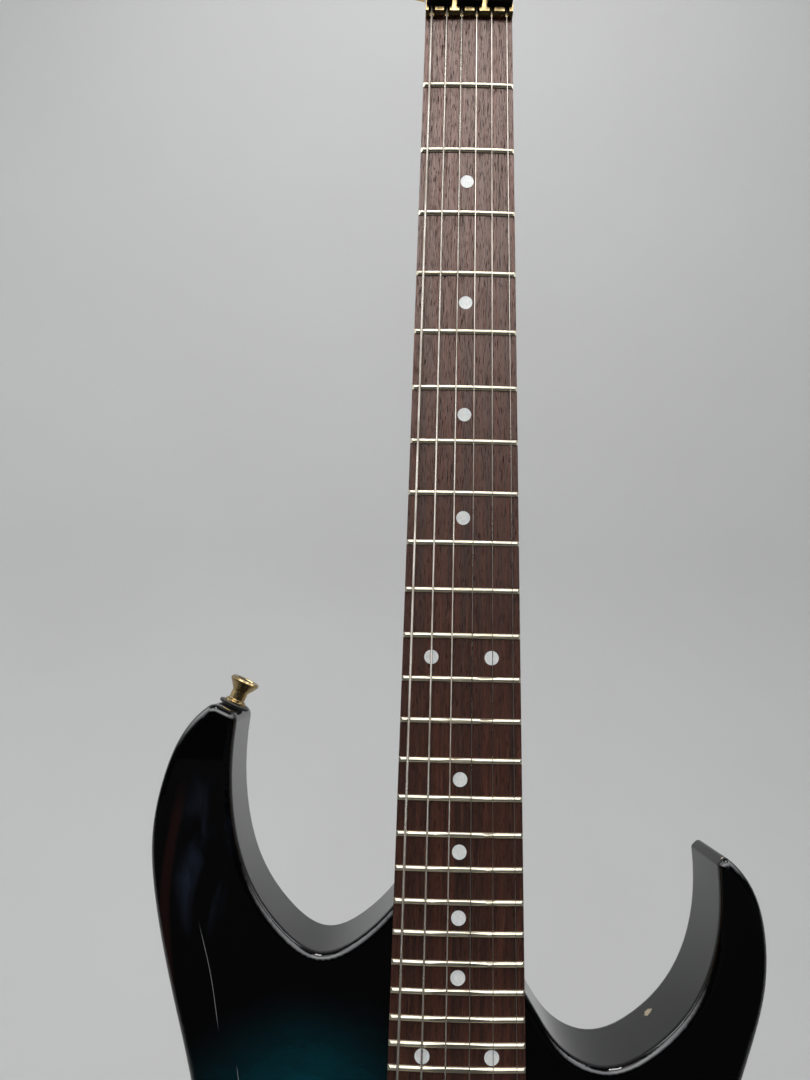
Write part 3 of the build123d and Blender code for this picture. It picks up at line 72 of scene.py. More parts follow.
class Paint:
    """One procedural material, with short names for the nodes it is wired from."""

    def __init__(self, name):
        self.material = bpy.data.materials.new(name)
        self.material.use_nodes = True
        self.tree = self.material.node_tree
        self.shader = self.tree.nodes["Principled BSDF"]
        self.place = self.node("ShaderNodeTexCoord").outputs["Object"]

    def node(self, kind, **settings):
        made = self.tree.nodes.new(kind)
        for key, value in settings.items():
            setattr(made, key, value)
        return made

    def join(self, socket, value):
        if isinstance(value, bpy.types.NodeSocket):
            self.tree.links.new(value, socket)
        else:
            socket.default_value = value

    def sums(self, operation, *values):
        made = self.node("ShaderNodeMath", operation=operation)
        for socket, value in zip(made.inputs, values):
            self.join(socket, value)
        return made.outputs[0]

    def vectors(self, operation, *values):
        made = self.node("ShaderNodeVectorMath", operation=operation)
        for socket, value in zip(made.inputs, values):
            self.join(socket, value)
        return made.outputs["Value" if operation in ("DOT_PRODUCT", "DISTANCE") else "Vector"]

    def parts(self):
        made = self.node("ShaderNodeSeparateXYZ")
        self.join(made.inputs[0], self.place)
        return made.outputs[0], made.outputs[1], made.outputs[2]

    def scaled(self, x, y, z, source=None):
        return self.vectors("MULTIPLY", source or self.place, (x, y, z))

    def noise(self, vector, detail=3.0, roughness=0.5, distortion=0.0):
        made = self.node("ShaderNodeTexNoise")
        self.join(made.inputs["Vector"], vector)
        made.inputs["Scale"].default_value = 1.0
        made.inputs["Detail"].default_value = detail
        made.inputs["Roughness"].default_value = roughness
        made.inputs["Distortion"].default_value = distortion
        return made.outputs[0]

    def cells(self, vector):
        made = self.node("ShaderNodeTexVoronoi")
        self.join(made.inputs["Vector"], vector)
        made.inputs["Scale"].default_value = 1.0
        return made.outputs["Distance"]

    def between(self, value, low, high, start=0.0, end=1.0):
        """A smooth step from start to end as the value goes from low to high."""
        made = self.node("ShaderNodeMapRange", interpolation_type="SMOOTHSTEP")
        for socket, given in zip(made.inputs, (value, low, high, start, end)):
            self.join(socket, given)
        return made.outputs[0]

    def mix(self, share, first, second):
        made = self.node("ShaderNodeMix", data_type="RGBA")
        self.join(made.inputs[0], share)
        self.join(made.inputs[6], first)
        self.join(made.inputs[7], second)
        return made.outputs[2]

    def bump(self, height, depth, normal=None):
        """Raises the surface by depth metres where the height is one."""
        made = self.node("ShaderNodeBump")
        made.inputs["Distance"].default_value = depth
        self.join(made.inputs["Height"], height)
        if normal is not None:
            self.join(made.inputs["Normal"], normal)
        return made.outputs[0]

    def soft_normal(self, radius):
        """The normal with sharp edges eased over a radius in metres."""
        made = self.node("ShaderNodeBevel", samples=4)
        made.inputs["Radius"].default_value = radius
        return made.outputs[0]

    def edges(self, eased):
        """One along the edges that soft_normal eases, none on the flats."""
        facing = self.node("ShaderNodeNewGeometry").outputs["Normal"]
        return self.between(self.vectors("DOT_PRODUCT", eased, facing), 0.999, 0.93)

    def done(self, **values):
        for key, value in values.items():
            self.join(self.shader.inputs[key.replace("_", " ")], value)
        return self.material


# ---------------------------------------------------------------- materials
def rosewood():
    """Dark reddish-brown board with open pores and lighter streaks along the grain."""
    p = Paint("rosewood")
    wander = p.noise(p.scaled(60, 60, 9), 2.0)
    drift = p.vectors("ADD", p.place, p.vectors("MULTIPLY", wander, (0.003, 0.003, 0)))
    bands = p.noise(p.scaled(420, 300, 7, drift), 4.0, 0.62)
    fibres = p.noise(p.scaled(2100, 1500, 46, drift), 4.0, 0.6)
    pores = p.noise(p.scaled(3600, 2400, 210, drift), 2.0, 0.5)
    pore = p.between(pores, 0.56, 0.66)
    dark = tone(27, 12, 9)
    warm = tone(68, 32, 22)
    pale = tone(106, 64, 48)
    colour = p.mix(p.between(bands, 0.32, 0.68), dark, warm)
    colour = p.mix(p.sums("MULTIPLY", p.between(fibres, 0.48, 0.74), 0.55), colour, pale)
    streak = p.between(p.noise(p.scaled(900, 700, 12, drift), 3.0), 0.58, 0.66)
    colour = p.mix(p.sums("MULTIPLY", streak, 0.5), colour, tone(24, 12, 10))
    colour = p.mix(p.sums("MULTIPLY", pore, 0.75), colour, tone(13, 7, 6))
    height = p.sums("SUBTRACT", p.sums("MULTIPLY", fibres, 0.35), pore)
    rough = p.between(fibres, 0.3, 0.7, 0.34, 0.46)
    gloss = p.between(fibres, 0.35, 0.7, 1.0, 0.7)
    return p.done(
        Base_Color=colour,
        Roughness=p.sums("ADD", rough, p.sums("MULTIPLY", pore, 0.25)),
        Specular_IOR_Level=p.sums("SUBTRACT", gloss, p.sums("MULTIPLY", pore, 0.6)),
        Specular_Tint=tone(255, 226, 214),
        Normal=p.bump(height, 0.0001),
    )


# The headstock's black skin ends this far from its face, and starts this far behind the nut, in metres
HEAD_SKIN_HEIGHT = (-0.0136, -0.0133)
HEAD_SKIN_START = (0.0005, 0.0009)


def maple(head_centre, head_normal, head_up):
    """Amber satin maple, lacquered black over the face and the sides of the headstock."""
    p = Paint("maple")
    bands = p.noise(p.scaled(150, 150, 5), 3.0, 0.6, 0.4)
    fibres = p.noise(p.scaled(1500, 1500, 40), 4.0, 0.6)
    flecks = p.between(p.noise(p.scaled(1200, 1200, 260), 1.0), 0.66, 0.74)
    colour = p.mix(bands, tone(186, 137, 82), tone(222, 180, 120))
    colour = p.mix(p.sums("MULTIPLY", p.between(fibres, 0.5, 0.8), 0.3), colour, tone(160, 108, 62))
    colour = p.mix(p.sums("MULTIPLY", flecks, 0.25), colour, tone(140, 92, 54))
    offset = p.vectors("SUBTRACT", p.place, tuple(head_centre))
    above = p.vectors("DOT_PRODUCT", offset, tuple(head_normal))
    along = p.vectors("DOT_PRODUCT", offset, tuple(head_up))
    ragged = p.sums("MULTIPLY", p.noise(p.scaled(900, 900, 900), 1.0), 0.0004)
    skin = p.between(p.sums("ADD", above, ragged), *HEAD_SKIN_HEIGHT)
    started = p.between(p.sums("ADD", along, ragged), *HEAD_SKIN_START)
    black = p.sums("MULTIPLY", skin, started)
    colour = p.mix(black, colour, tone(9, 9, 10))
    wear = p.noise(p.scaled(70, 70, 70), 4.0, 0.7)
    return p.done(
        Base_Color=colour,
        Roughness=p.sums("SUBTRACT", p.between(wear, 0.3, 0.7, 0.36, 0.48), p.sums("MULTIPLY", black, 0.2)),
        Coat_Weight=p.between(black, 0.0, 1.0, 0.25, 1.0),
        Coat_Roughness=p.between(black, 0.0, 1.0, 0.3, 0.04),
        Normal=p.bump(p.sums("MULTIPLY", fibres, p.sums("SUBTRACT", 1.0, black)), 0.00002),
    )


def depth_inside(p, x, z, centre, radii):
    """Rough distance in metres from the edge of an ellipse to a point inside it."""
    across = p.sums("DIVIDE", p.sums("SUBTRACT", x, centre[0]), radii[0])
    along = p.sums("DIVIDE", p.sums("SUBTRACT", z, centre[1]), radii[1])
    square = p.sums("ADD", p.sums("MULTIPLY", across, across), p.sums("MULTIPLY", along, along))
    return p.sums("MULTIPLY", p.sums("SUBTRACT", 1.0, p.sums("SQRT", square)), min(radii))


def scratch(p, x, z, start, end, bow, width):
    """A fine bowed line in the lacquer, fading towards its ends."""
    (x0, z0), (x1, z1) = start, end
    run = p.between(z, z0, z1)
    straight = p.sums("MULTIPLY_ADD", p.sums("DIVIDE", p.sums("SUBTRACT", z, z0), z1 - z0), x1 - x0, x0)
    belly = p.sums("MULTIPLY", p.sums("MULTIPLY", run, p.sums("SUBTRACT", 1.0, run)), 4 * bow)
    off = p.sums("ABSOLUTE", p.sums("SUBTRACT", x, p.sums("ADD", straight, belly)))
    line = p.between(off, width, width * 0.3)
    ends = p.sums("MULTIPLY", p.between(run, 0.0, 0.1), p.between(run, 1.0, 0.85))
    return p.sums("MULTIPLY", line, ends)


def chip(p, centre, radius):
    """A ragged spot where the lacquer has flaked off."""
    distance = p.vectors("DISTANCE", p.place, centre)
    ragged = p.sums("MULTIPLY", p.noise(p.scaled(900, 900, 900), 3.0), radius)
    return p.between(p.sums("ADD", distance, ragged), radius * 1.25, radius * 1.1)


# The teal part of the burst: three ellipses in the plane of the face, as centre and radii in metres
BURST_LOWER = ((0.0, 0.128), (0.150, 0.112))
BURST_MIDDLE = ((-0.004, 0.200), (0.104, 0.125))
BURST_UPPER = ((-0.062, 0.287), (0.078, 0.070))
# Where a cloudy blue reflection is painted over the bass horn, as centre and radii in metres
HORN_GLINT = ((-0.1135, 0.3990), (0.0150, 0.0420))
# Lines on the face: start, end, bow and half width in metres
WARM_BAND = ((-0.1235, 0.3200), (-0.1235, 0.4440), -0.0062, 0.0032)
SCRATCHES = (
    ((-0.1022, 0.3223), (-0.1150, 0.3742), 0.0010, 0.00016),
    ((-0.0905, 0.2960), (-0.0949, 0.3132), -0.0004, 0.00016),
)
HORN_CHIP = ((0.1191, -0.0161, 0.4016), 0.0011)
WALL_CHIP = ((0.0915, 0.0078, 0.3259), 0.0030)


def teal_centre(p, x, z, rim):
    """The rim colour outside the three ellipses, turning to figured teal inside them."""
    swirl = p.noise(p.scaled(14, 14, 10), 3.0, 0.6, 0.8)
    lower = depth_inside(p, x, z, *BURST_LOWER)
    middle = depth_inside(p, x, z, *BURST_MIDDLE)
    upper = depth_inside(p, x, z, *BURST_UPPER)
    depth = p.sums("SMOOTH_MAX", p.sums("SMOOTH_MAX", lower, middle, 0.03), upper, 0.03)
    depth = p.sums("ADD", depth, p.sums("MULTIPLY", p.sums("SUBTRACT", swirl, 0.5), 0.020))
    figure = p.noise(p.scaled(60, 60, 210), 3.0, 0.55, 1.2)
    cloud = p.noise(p.scaled(30, 30, 24), 2.0)
    teal = p.mix(p.between(depth, 0.030, 0.105), tone(0, 36, 42), tone(0, 92, 104))
    shade = p.sums("MULTIPLY", p.between(figure, 0.35, 0.65), p.between(cloud, 0.3, 0.7, 0.4, 1.0))
    teal = p.mix(p.sums("MULTIPLY", shade, 0.55), teal, tone(0, 22, 29))
    return p.mix(p.between(depth, 0.012, 0.046), rim, teal)


def horn_sheen(p, x, z, colour):
    """A painted reflection of cloudy blue wisps over the bass horn, and one warm band over it."""
    # A cloudy blue reflection is painted where the horn's ellipse and the wisps overlap
    horn = p.between(depth_inside(p, x, z, *HORN_GLINT), 0.0, 0.008)
    reflection_wisps = p.between(p.noise(p.scaled(60, 60, 26), 3.0, 0.6, 0.8), 0.44, 0.74)
    colour = p.mix(p.sums("MULTIPLY", horn, reflection_wisps), colour, tone(30, 38, 52))
    warm_band = scratch(p, x, z, *WARM_BAND)
    return p.mix(p.sums("MULTIPLY", warm_band, 0.4), colour, tone(44, 17, 14))


def burst(name, faced):
    """Gloss lacquer, black all over, or with the teal centre and the scratches of the face."""
    p = Paint(name)
    colour = tone(1, 1, 2)
    marks = []
    if faced:
        x, _, z = p.parts()
        colour = horn_sheen(p, x, z, teal_centre(p, x, z, colour))
        marks = [scratch(p, x, z, *line) for line in SCRATCHES]
    chips = p.sums("ADD", chip(p, *HORN_CHIP), chip(p, *WALL_CHIP))
    colour = p.mix(chips, colour, tone(170, 158, 138))
    wear_and_highlight = chips
    for mark in marks:
        colour = p.mix(p.sums("MULTIPLY", mark, 0.8), colour, tone(148, 152, 152))
        wear_and_highlight = p.sums("MAXIMUM", wear_and_highlight, mark)
    smear = p.noise(p.scaled(26, 26, 40), 4.0, 0.7, 0.5)
    peel = p.noise(p.scaled(260, 260, 260), 2.0)
    fine = p.noise(p.scaled(40, 40, 900), 3.0, 0.6, 2.0)
    haze = p.sums("ADD", p.between(smear, 0.45, 0.75, 0.015, 0.05), p.between(fine, 0.62, 0.8, 0.0, 0.04))
    normal = p.bump(p.sums("SUBTRACT", peel, p.sums("MULTIPLY", wear_and_highlight, 4.0)), 0.000004)
    return p.done(
        Base_Color=colour,
        Roughness=p.sums("ADD", 0.5, p.sums("MULTIPLY", wear_and_highlight, 0.3)),
        Specular_IOR_Level=0.02,
        Coat_Weight=p.sums("SUBTRACT", 1.0, p.sums("MULTIPLY", wear_and_highlight, 0.8)),
        Coat_Roughness=haze,
        Coat_Normal=normal,
        Normal=normal,
    )


def metal(name, colour, stain, rough, patch=70, edge_radius=0.00015, brushed=None, wear_and_highlight=None, age=0.5):
    """Plated or bare metal with blotchy tarnish, fine scratches and bright edges; a given edge colour is painted
    along the edges, partly as rubbed plating and partly as a painted highlight.
    """
    p = Paint(name)
    eased = p.soft_normal(edge_radius)
    edge = p.edges(eased)
    blot = p.noise(p.scaled(patch, patch, patch), 3.0, 0.55)
    spots = p.between(p.noise(p.scaled(900, 900, 900), 2.0), 0.64, 0.72)
    grain = p.noise(p.scaled(*(brushed or (700, 700, 700))), 3.0, 0.6)
    tarnish = p.between(blot, 0.42, 0.68)
    tint = p.mix(p.sums("MULTIPLY", tarnish, age), colour, stain)
    tint = p.mix(p.sums("MULTIPLY", spots, 0.3 * age), tint, stain)
    # Where an edge colour is given, the edges are painted in it: partly rubbed plating, partly a painted highlight
    tint = p.mix(p.sums("MULTIPLY", edge, 0.5), tint, wear_and_highlight or colour)
    level = p.between(blot, 0.35, 0.75, rough, rough + 0.16)
    level = p.sums("ADD", level, p.between(grain, 0.4, 0.7, 0.0, 0.05))
    return p.done(
        Base_Color=tint,
        Metallic=1.0,
        Roughness=level,
        Normal=p.bump(grain, 0.000006, eased),
    )


def plastic(name, colour, rough, pebble=0.0, scale=1400, metallic=0.0, scuff=(60, 60, 62)):
    """Moulded plastic or black oxide: faint texture, dust and rubbed edges."""
    p = Paint(name)
    eased = p.soft_normal(0.0002)
    edge = p.edges(eased)
    dust = p.noise(p.scaled(45, 45, 45), 5.0, 0.7)
    texture = p.noise(p.scaled(scale, scale, scale), 2.0)
    tint = p.mix(p.between(dust, 0.5, 0.8, 0.0, 0.25), colour, tone(*scuff))
    tint = p.mix(p.sums("MULTIPLY", edge, 0.35), tint, tone(*scuff))
    level = p.between(dust, 0.3, 0.7, rough, rough + 0.14)
    return p.done(
        Base_Color=tint,
        Metallic=metallic,
        Roughness=p.sums("ADD", level, p.sums("MULTIPLY", edge, 0.1)),
        Normal=p.bump(texture, 0.000004 + pebble, eased),
    )


def pearl():
    """White pearl plastic with faint swirls under a polished skin."""
    p = Paint("pearl")
    fold = p.noise(p.scaled(420, 420, 420), 3.0, 0.55, 2.2)
    sheen = p.cells(p.scaled(700, 700, 520))
    colour = p.mix(p.between(fold, 0.35, 0.68), tone(236, 238, 236), tone(252, 252, 250))
    colour = p.mix(p.between(sheen, 0.2, 0.9, 0.0, 0.25), colour, tone(214, 222, 224))
    return p.done(
        Base_Color=colour,
        Roughness=p.between(fold, 0.3, 0.7, 0.14, 0.24),
        Coat_Weight=0.5,
        Subsurface_Weight=0.15,
        Subsurface_Scale=0.001,
        Normal=p.bump(fold, 0.000004),
    )


def felt():
    """Matted black felt."""
    p = Paint("felt")
    hairs = p.noise(p.scaled(2600, 2600, 1200), 4.0, 0.7, 1.5)
    mat = p.noise(p.scaled(500, 500, 500), 3.0)
    colour = p.mix(hairs, tone(6, 6, 6), tone(26, 26, 25))
    return p.done(
        Base_Color=colour,
        Roughness=p.between(mat, 0.3, 0.7, 0.86, 1.0),
        Specular_IOR_Level=0.1,
        Sheen_Weight=0.35,
        Sheen_Roughness=0.5,
        Normal=p.bump(p.sums("ADD", hairs, mat), 0.0001),
    )


WRAP_WIRE_PITCH = 0.34 * MM


def string_metal(wound):
    """Bright steel; the thick strings carry a wrap of fine wire, with painted shade in the grooves between its
    turns.
    """
    p = Paint("wound_string" if wound else "plain_string")
    grime = p.noise(p.scaled(60, 60, 34), 4.0, 0.65)
    colour = p.mix(p.between(grime, 0.4, 0.7), tone(192, 185, 175), tone(150, 141, 130))
    values = {"Base_Color": colour, "Metallic": 1.0, "Roughness": p.between(grime, 0.3, 0.7, 0.22, 0.4)}
    if wound:
        _, _, z = p.parts()
        turn = p.sums("SINE", p.sums("MULTIPLY", z, 2 * math.pi / WRAP_WIRE_PITCH))
        values["Normal"] = p.bump(turn, 0.00002)
        # The grooves between the turns of wire are painted darker, as painted shade
        values["Base_Color"] = p.mix(p.between(turn, -0.2, -0.9, 0.0, 0.4), colour, tone(52, 46, 40))
    return p.done(**values)


def arm_metal(cap_start, along):
    """Plated bar with a soft black cap over its far end."""
    p = Paint("arm_bar")
    eased = p.soft_normal(0.00015)
    blot = p.noise(p.scaled(80, 80, 80), 5.0, 0.6)
    reach = p.vectors("DOT_PRODUCT", p.vectors("SUBTRACT", p.place, tuple(cap_start)), tuple(along))
    cap = p.between(reach, -0.0001, 0.0001)
    colour = p.mix(p.between(blot, 0.4, 0.7), tone(226, 186, 110), tone(168, 124, 66))
    colour = p.mix(cap, colour, tone(14, 14, 15))
    return p.done(
        Base_Color=colour,
        Metallic=p.sums("SUBTRACT", 1.0, cap),
        Roughness=p.sums("ADD", p.between(blot, 0.35, 0.75, 0.16, 0.3), p.sums("MULTIPLY", cap, 0.25)),
        Normal=p.bump(blot, 0.000005, eased),
    )


def floor_paint():
    """Plain pale floor and wall, seen through from behind and dimmer in reflections from the front."""
    p = Paint("pale_backdrop")
    mottle = p.noise(p.scaled(3, 3, 3), 3.0)
    colour = p.mix(mottle, tone(198, 198, 197), tone(205, 205, 205))
    _, y, _ = p.parts()
    mirrored = p.node("ShaderNodeLightPath").outputs["Is Glossy Ray"]
    shade = p.sums("MULTIPLY", p.between(y, 0.0, -0.5), mirrored)
    colour = p.mix(shade, colour, tone(30, 30, 31))
    facing = p.node("ShaderNodeNewGeometry").outputs["Backfacing"]
    return p.done(
        Base_Color=colour,
        Roughness=0.9,
        Specular_IOR_Level=0.1,
        Alpha=p.sums("SUBTRACT", 1.0, facing),
        Normal=p.bump(p.noise(p.scaled(400, 400, 400), 2.0), 0.00005),
    )


def dress(material, *names):
    for name in names:
        data = NODES[name].data
        data.materials.clear()
        data.materials.append(material)


# ---------------------------------------------------------------- mesh helpers
def mesh_object(name, points, faces, material, smooth=True):
    mesh = bpy.data.meshes.new(name)
    mesh.from_pydata([tuple(point) for point in points], [], faces)
    mesh.update()
    mesh.validate()
    if smooth:
        mesh.polygons.foreach_set("use_smooth", [True] * len(mesh.polygons))
    mesh.materials.append(material)
    obj = bpy.data.objects.new(name, mesh)
    bpy.context.scene.collection.objects.link(obj)
    return obj


def rounded_path(points, radius, steps=5):
    """The same path with each corner eased by a short curve."""
    path = [points[0]]
    for before, corner, after in zip(points, points[1:], points[2:]):
        reach = min(radius, (corner - before).length * 0.45, (after - corner).length * 0.45)
        start = corner + (before - corner).normalized() * reach
        end = corner + (after - corner).normalized() * reach
        for step in range(steps + 1):
            t = step / steps
            path.append(start.lerp(corner, t).lerp(corner.lerp(end, t), t))
    path.append(points[-1])
    return path


def refined(path, longest, low, high):
    """Extra points where the path runs between two heights."""
    made = [path[0]]
    for point in path[1:]:
        last = made[-1]
        near = min(last.z, point.z) < high and max(last.z, point.z) > low
        count = max(1, math.ceil((point - last).length / longest)) if near else 1
        made += [last.lerp(point, step / count) for step in range(1, count + 1)]
    return made


def tube(name, path, radius, material, sides=10):
    """A round wire along a path, with closed ends and rings that don't twist."""
    directions = []
    for index in range(len(path)):
        before = path[max(index - 1, 0)]
        after = path[min(index + 1, len(path) - 1)]
        directions.append((after - before).normalized())
    side = directions[0].orthogonal().normalized()
    points = []
    for place, along in zip(path, directions):
        side = (side - along * side.dot(along)).normalized()
        other = along.cross(side)
        for step in range(sides):
            angle = 2 * math.pi * step / sides
            points.append(place + (side * math.cos(angle) + other * math.sin(angle)) * radius)
    faces = []
    for ring in range(len(path) - 1):
        for step in range(sides):
            a = ring * sides + step
            b = ring * sides + (step + 1) % sides
            faces.append((a, b, b + sides, a + sides))
    faces.append(tuple(reversed(range(sides))))
    faces.append(tuple(range((len(path) - 1) * sides, len(path) * sides)))
    return mesh_object(name, points, faces, material)


# ---------------------------------------------------------------- strings
HEAD_NORMAL = Vector(JOINTS["post_1_turn"]["axis"]).normalized()
HEAD_ACROSS = Vector((1, 0, 0))
HEAD_UP = HEAD_NORMAL.cross(HEAD_ACROSS).normalized()
STRING_COUNT = len(STRING_DIAMETERS)
POSTS = [Vector(JOINTS[f"post_{i + 1}_turn"]["pos_m"]) for i in range(STRING_COUNT)]
SADDLE_XS = [JOINTS[f"fine_{i + 1}_turn"]["pos_m"][0] for i in range(STRING_COUNT)]
SCALE_LENGTH = 648 * MM
NUT_SPREAD = 37 * MM
NUT_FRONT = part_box("fretboard")[1].z
NUT_DEPTH = 15 * MM
STRING_Y_AT_NUT = -31.6 * MM
STRING_Y_AT_SADDLE = -34.5 * MM
SADDLE_Z = NUT_FRONT - SCALE_LENGTH
HEAD_START = Vector((0, -24 * MM, NUT_FRONT + NUT_DEPTH))
RETAINER_UNDERSIDE = 5.2 * MM
EYE_HEIGHT = 6.2 * MM
CONTACT_HEIGHT = 8.6 * MM
POST_WAIST = 2.4 * MM
COIL_CLEARANCE = 0.02 * MM
ARM_CAP_START = Vector((82.4, -51.3, 246.5)) * MM
ARM_ALONG = Vector((0.3416, 0.0508, 0.9385))
WRAP_TURNS = (2.0, 2.6, 3.5, 4.0, 4.0, 4.5)
WRAP_STEPS = 24
CLAMP_FACE_Z = 147.45 * MM
STRING_END_Y = -27 * MM
STRING_CORNER = 2.5 * MM
STRING_SIDES = 12
# A string gets finer points between these heights above the saddle, and they reach a margin higher
BEND_HIGH = 30 * MM
BEND_STEP = 1.2 * MM
BEND_MARGIN = 4 * MM


def nut_x(index):
    return (index / (STRING_COUNT - 1) - 0.5) * NUT_SPREAD


def over_nut(index):
    """Where the straight run of a string leaves the back of the nut."""
    past = NUT_DEPTH / SCALE_LENGTH
    return Vector((
        nut_x(index) - past * (SADDLE_XS[index] - nut_x(index)),
        STRING_Y_AT_NUT - past * (STRING_Y_AT_SADDLE - STRING_Y_AT_NUT),
        NUT_FRONT + NUT_DEPTH,
    ))


def retainer_point(index, radius):
    """Where a string runs under the retainer bar, just behind the nut."""
    low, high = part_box("string_retainer")
    centre = (low + high) / 2
    along = (Vector((0, centre.y, centre.z)) - HEAD_START).dot(HEAD_UP)
    height = RETAINER_UNDERSIDE - radius
    return HEAD_START + HEAD_UP * along + HEAD_NORMAL * height + HEAD_ACROSS * nut_x(index)


class Coil:
    """The turns of one string around its post, falling from where it arrives to the eye."""

    def __init__(self, index, radius, corner):
        self.post = POSTS[index]
        self.size = POST_WAIST + radius + COIL_CLEARANCE
        aim = self.post - corner
        heading = math.atan2(aim.dot(HEAD_UP), aim.dot(HEAD_ACROSS))
        reach = math.hypot(aim.dot(HEAD_UP), aim.dot(HEAD_ACROSS))
        self.contact = heading + math.asin(self.size / reach) - math.pi / 2
        self.last_step = round(WRAP_TURNS[index] * WRAP_STEPS)
        self.fall = (CONTACT_HEIGHT - EYE_HEIGHT) / WRAP_TURNS[index]

    def angle(self, step):
        return self.contact + step * 2 * math.pi / WRAP_STEPS

    def point(self, step):
        turned = HEAD_ACROSS * math.cos(self.angle(step)) + HEAD_UP * math.sin(self.angle(step))
        height = CONTACT_HEIGHT - self.fall * step / WRAP_STEPS
        return self.post + turned * self.size + HEAD_NORMAL * height

    def points(self, first, last):
        return [self.point(step) for step in range(first, last + 1)]


def string_path(index, radius, corner, coil):
    """From the clamp over the saddle, the nut and under the retainer to the first turn on the post."""
    x = SADDLE_XS[index]
    clamp_z = CLAMP_FACE_Z - radius
    points = [
        Vector((x, STRING_END_Y, clamp_z)),
        Vector((x, STRING_Y_AT_SADDLE + 1.2 * MM - radius, clamp_z)),
        Vector((x, STRING_Y_AT_SADDLE, SADDLE_Z)),
        over_nut(index),
        corner,
        coil.point(0),
    ]
    path = rounded_path(points, STRING_CORNER)
    path = refined(path, BEND_STEP, SADDLE_Z, SADDLE_Z + BEND_HIGH + BEND_MARGIN)
    return path + coil.points(1, WRAP_STEPS)


def wrap_path(coil):
    """From half a turn on the post to the eye, with a short bent tail."""
    path = coil.points(WRAP_STEPS // 2, coil.last_step)
    leave = coil.angle(coil.last_step)
    tail = HEAD_ACROSS * -math.sin(leave) + HEAD_UP * math.cos(leave)
    for reach, drop in ((1.2, 0.1), (1.6, 0.3)):
        path.append(path[-1] + tail * reach * MM - HEAD_NORMAL * drop * MM)
    return path


def make_strings(wound, plain):
    for index, diameter in enumerate(STRING_DIAMETERS):
        radius = diameter / 2 * MM
        corner = retainer_point(index, radius)
        coil = Coil(index, radius, corner)
        material = wound if index < WOUND_STRINGS else plain
        path = string_path(index, radius, corner, coil)
        string = tube(f"string_{index + 1}", path, radius, material, STRING_SIDES)
        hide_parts("strings")
        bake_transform(string)
        wrap = tube(f"string_wrap_{index + 1}", wrap_path(coil), radius, material, STRING_SIDES)
        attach(wrap, f"post_{index + 1}")


# ---------------------------------------------------------------- springs and felt
SPRING_XS = (-16 * MM, 0.0, 16 * MM)
SPRING_TURNS = 28
TURN_STEPS = 16


def make_springs(material):
    """Coil springs between the tremolo block and the claw."""
    low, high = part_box("trem_springs")
    middle_y = (low.y + high.y) / 2
    wire = 0.55 * MM
    coil = 3.6 * MM
    start, end = low.z + 13 * MM, high.z - 9 * MM
    steps = SPRING_TURNS * TURN_STEPS
    for number, x in enumerate(SPRING_XS):
        path = [Vector((x, middle_y, low.z)), Vector((x, middle_y, start - 3 * MM))]
        for step in range(steps + 1):
            share = step / steps
            angle = 2 * math.pi * step / TURN_STEPS
            size = coil * min(1.0, 8 * share + 0.1, 8 * (1 - share) + 0.1)
            z = start + (end - start) * share
            path.append(Vector((x + size * math.cos(angle), middle_y + size * math.sin(angle), z)))
        path.append(Vector((x, middle_y, end + 3 * MM)))
        path.append(Vector((x, middle_y, high.z)))
        spring = tube(f"tremolo_spring_{number + 1}", path, wire, material, 8)
        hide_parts("trem_springs")
        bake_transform(spring)


FELT_RINGS = 64
FELT_SECTION = 24
FELT_FUZZ = 0.12 * MM
# Each strap button's mount, and how far its seat on the body lies below the mount's own place
FELT_SEATS = (("end_strap_button", 0.0), ("horn_strap_button", 5.5 * MM))


def make_felt(material):
    """Felt washers: crowned rings, a little uneven, under both strap buttons."""
    inner, outer, thick = 2.35 * MM, 7.3 * MM, 1.5 * MM
    for mount_name, raised in FELT_SEATS:
        mount = MOUNTS[mount_name]
        axis = Vector(mount["axis"]).normalized()
        seat = Vector(mount["pos_m"]) - axis * raised
        side = axis.orthogonal().normalized()
        other = axis.cross(side)
        section = []
        for step in range(FELT_SECTION):
            turn = 2 * math.pi * step / FELT_SECTION
            across = math.copysign(abs(math.cos(turn)) ** 0.45, math.cos(turn))
            along = math.copysign(abs(math.sin(turn)) ** 0.6, math.sin(turn))
            section.append(((inner + outer) / 2 + (outer - inner) / 2 * across, thick / 2 * (1 + along)))
        points, faces = [], []
        for ring in range(FELT_RINGS):
            angle = 2 * math.pi * ring / FELT_RINGS
            out = side * math.cos(angle) + other * math.sin(angle)
            for reach, height in section:
                place = out * reach + axis * height
                fuzz = noise.noise(place * 900) * FELT_FUZZ * (1 if reach > inner * 1.5 else 0)
                points.append(seat + place + out * fuzz)
        for ring in range(FELT_RINGS):
            here = ring * FELT_SECTION
            beyond = (ring + 1) % FELT_RINGS * FELT_SECTION
            for step in range(FELT_SECTION):
                after = (step + 1) % FELT_SECTION
                faces.append((here + step, here + after, beyond + after, beyond + step))
        washer = mesh_object("felt_washer_" + mount_name.split("_")[0], points, faces, material)
        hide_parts("strap_washers")
        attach(washer, "guitar")


# ---------------------------------------------------------------- stage, light and camera
def make_stage():
    floor_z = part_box("strap_buttons")[0].z - 2 * MM
    front, bend_start, bend, half_width, top = -3.2, 0.55, 0.7, 3.6, 3.4
    steps = 16
    profile = [(front, floor_z), (bend_start, floor_z)]
    for step in range(1, steps + 1):
        angle = math.radians(90 * step / steps)
        profile.append((bend_start + bend * math.sin(angle), floor_z + bend * (1 - math.cos(angle))))
    profile.append((bend_start + bend, top))
    points = [(x, y, z) for y, z in profile for x in (-half_width, half_width)]
    faces = [(2 * i, 2 * i + 1, 2 * i + 3, 2 * i + 2) for i in range(len(profile) - 1)]
    mesh_object("pale_backdrop", points, faces, floor_paint())


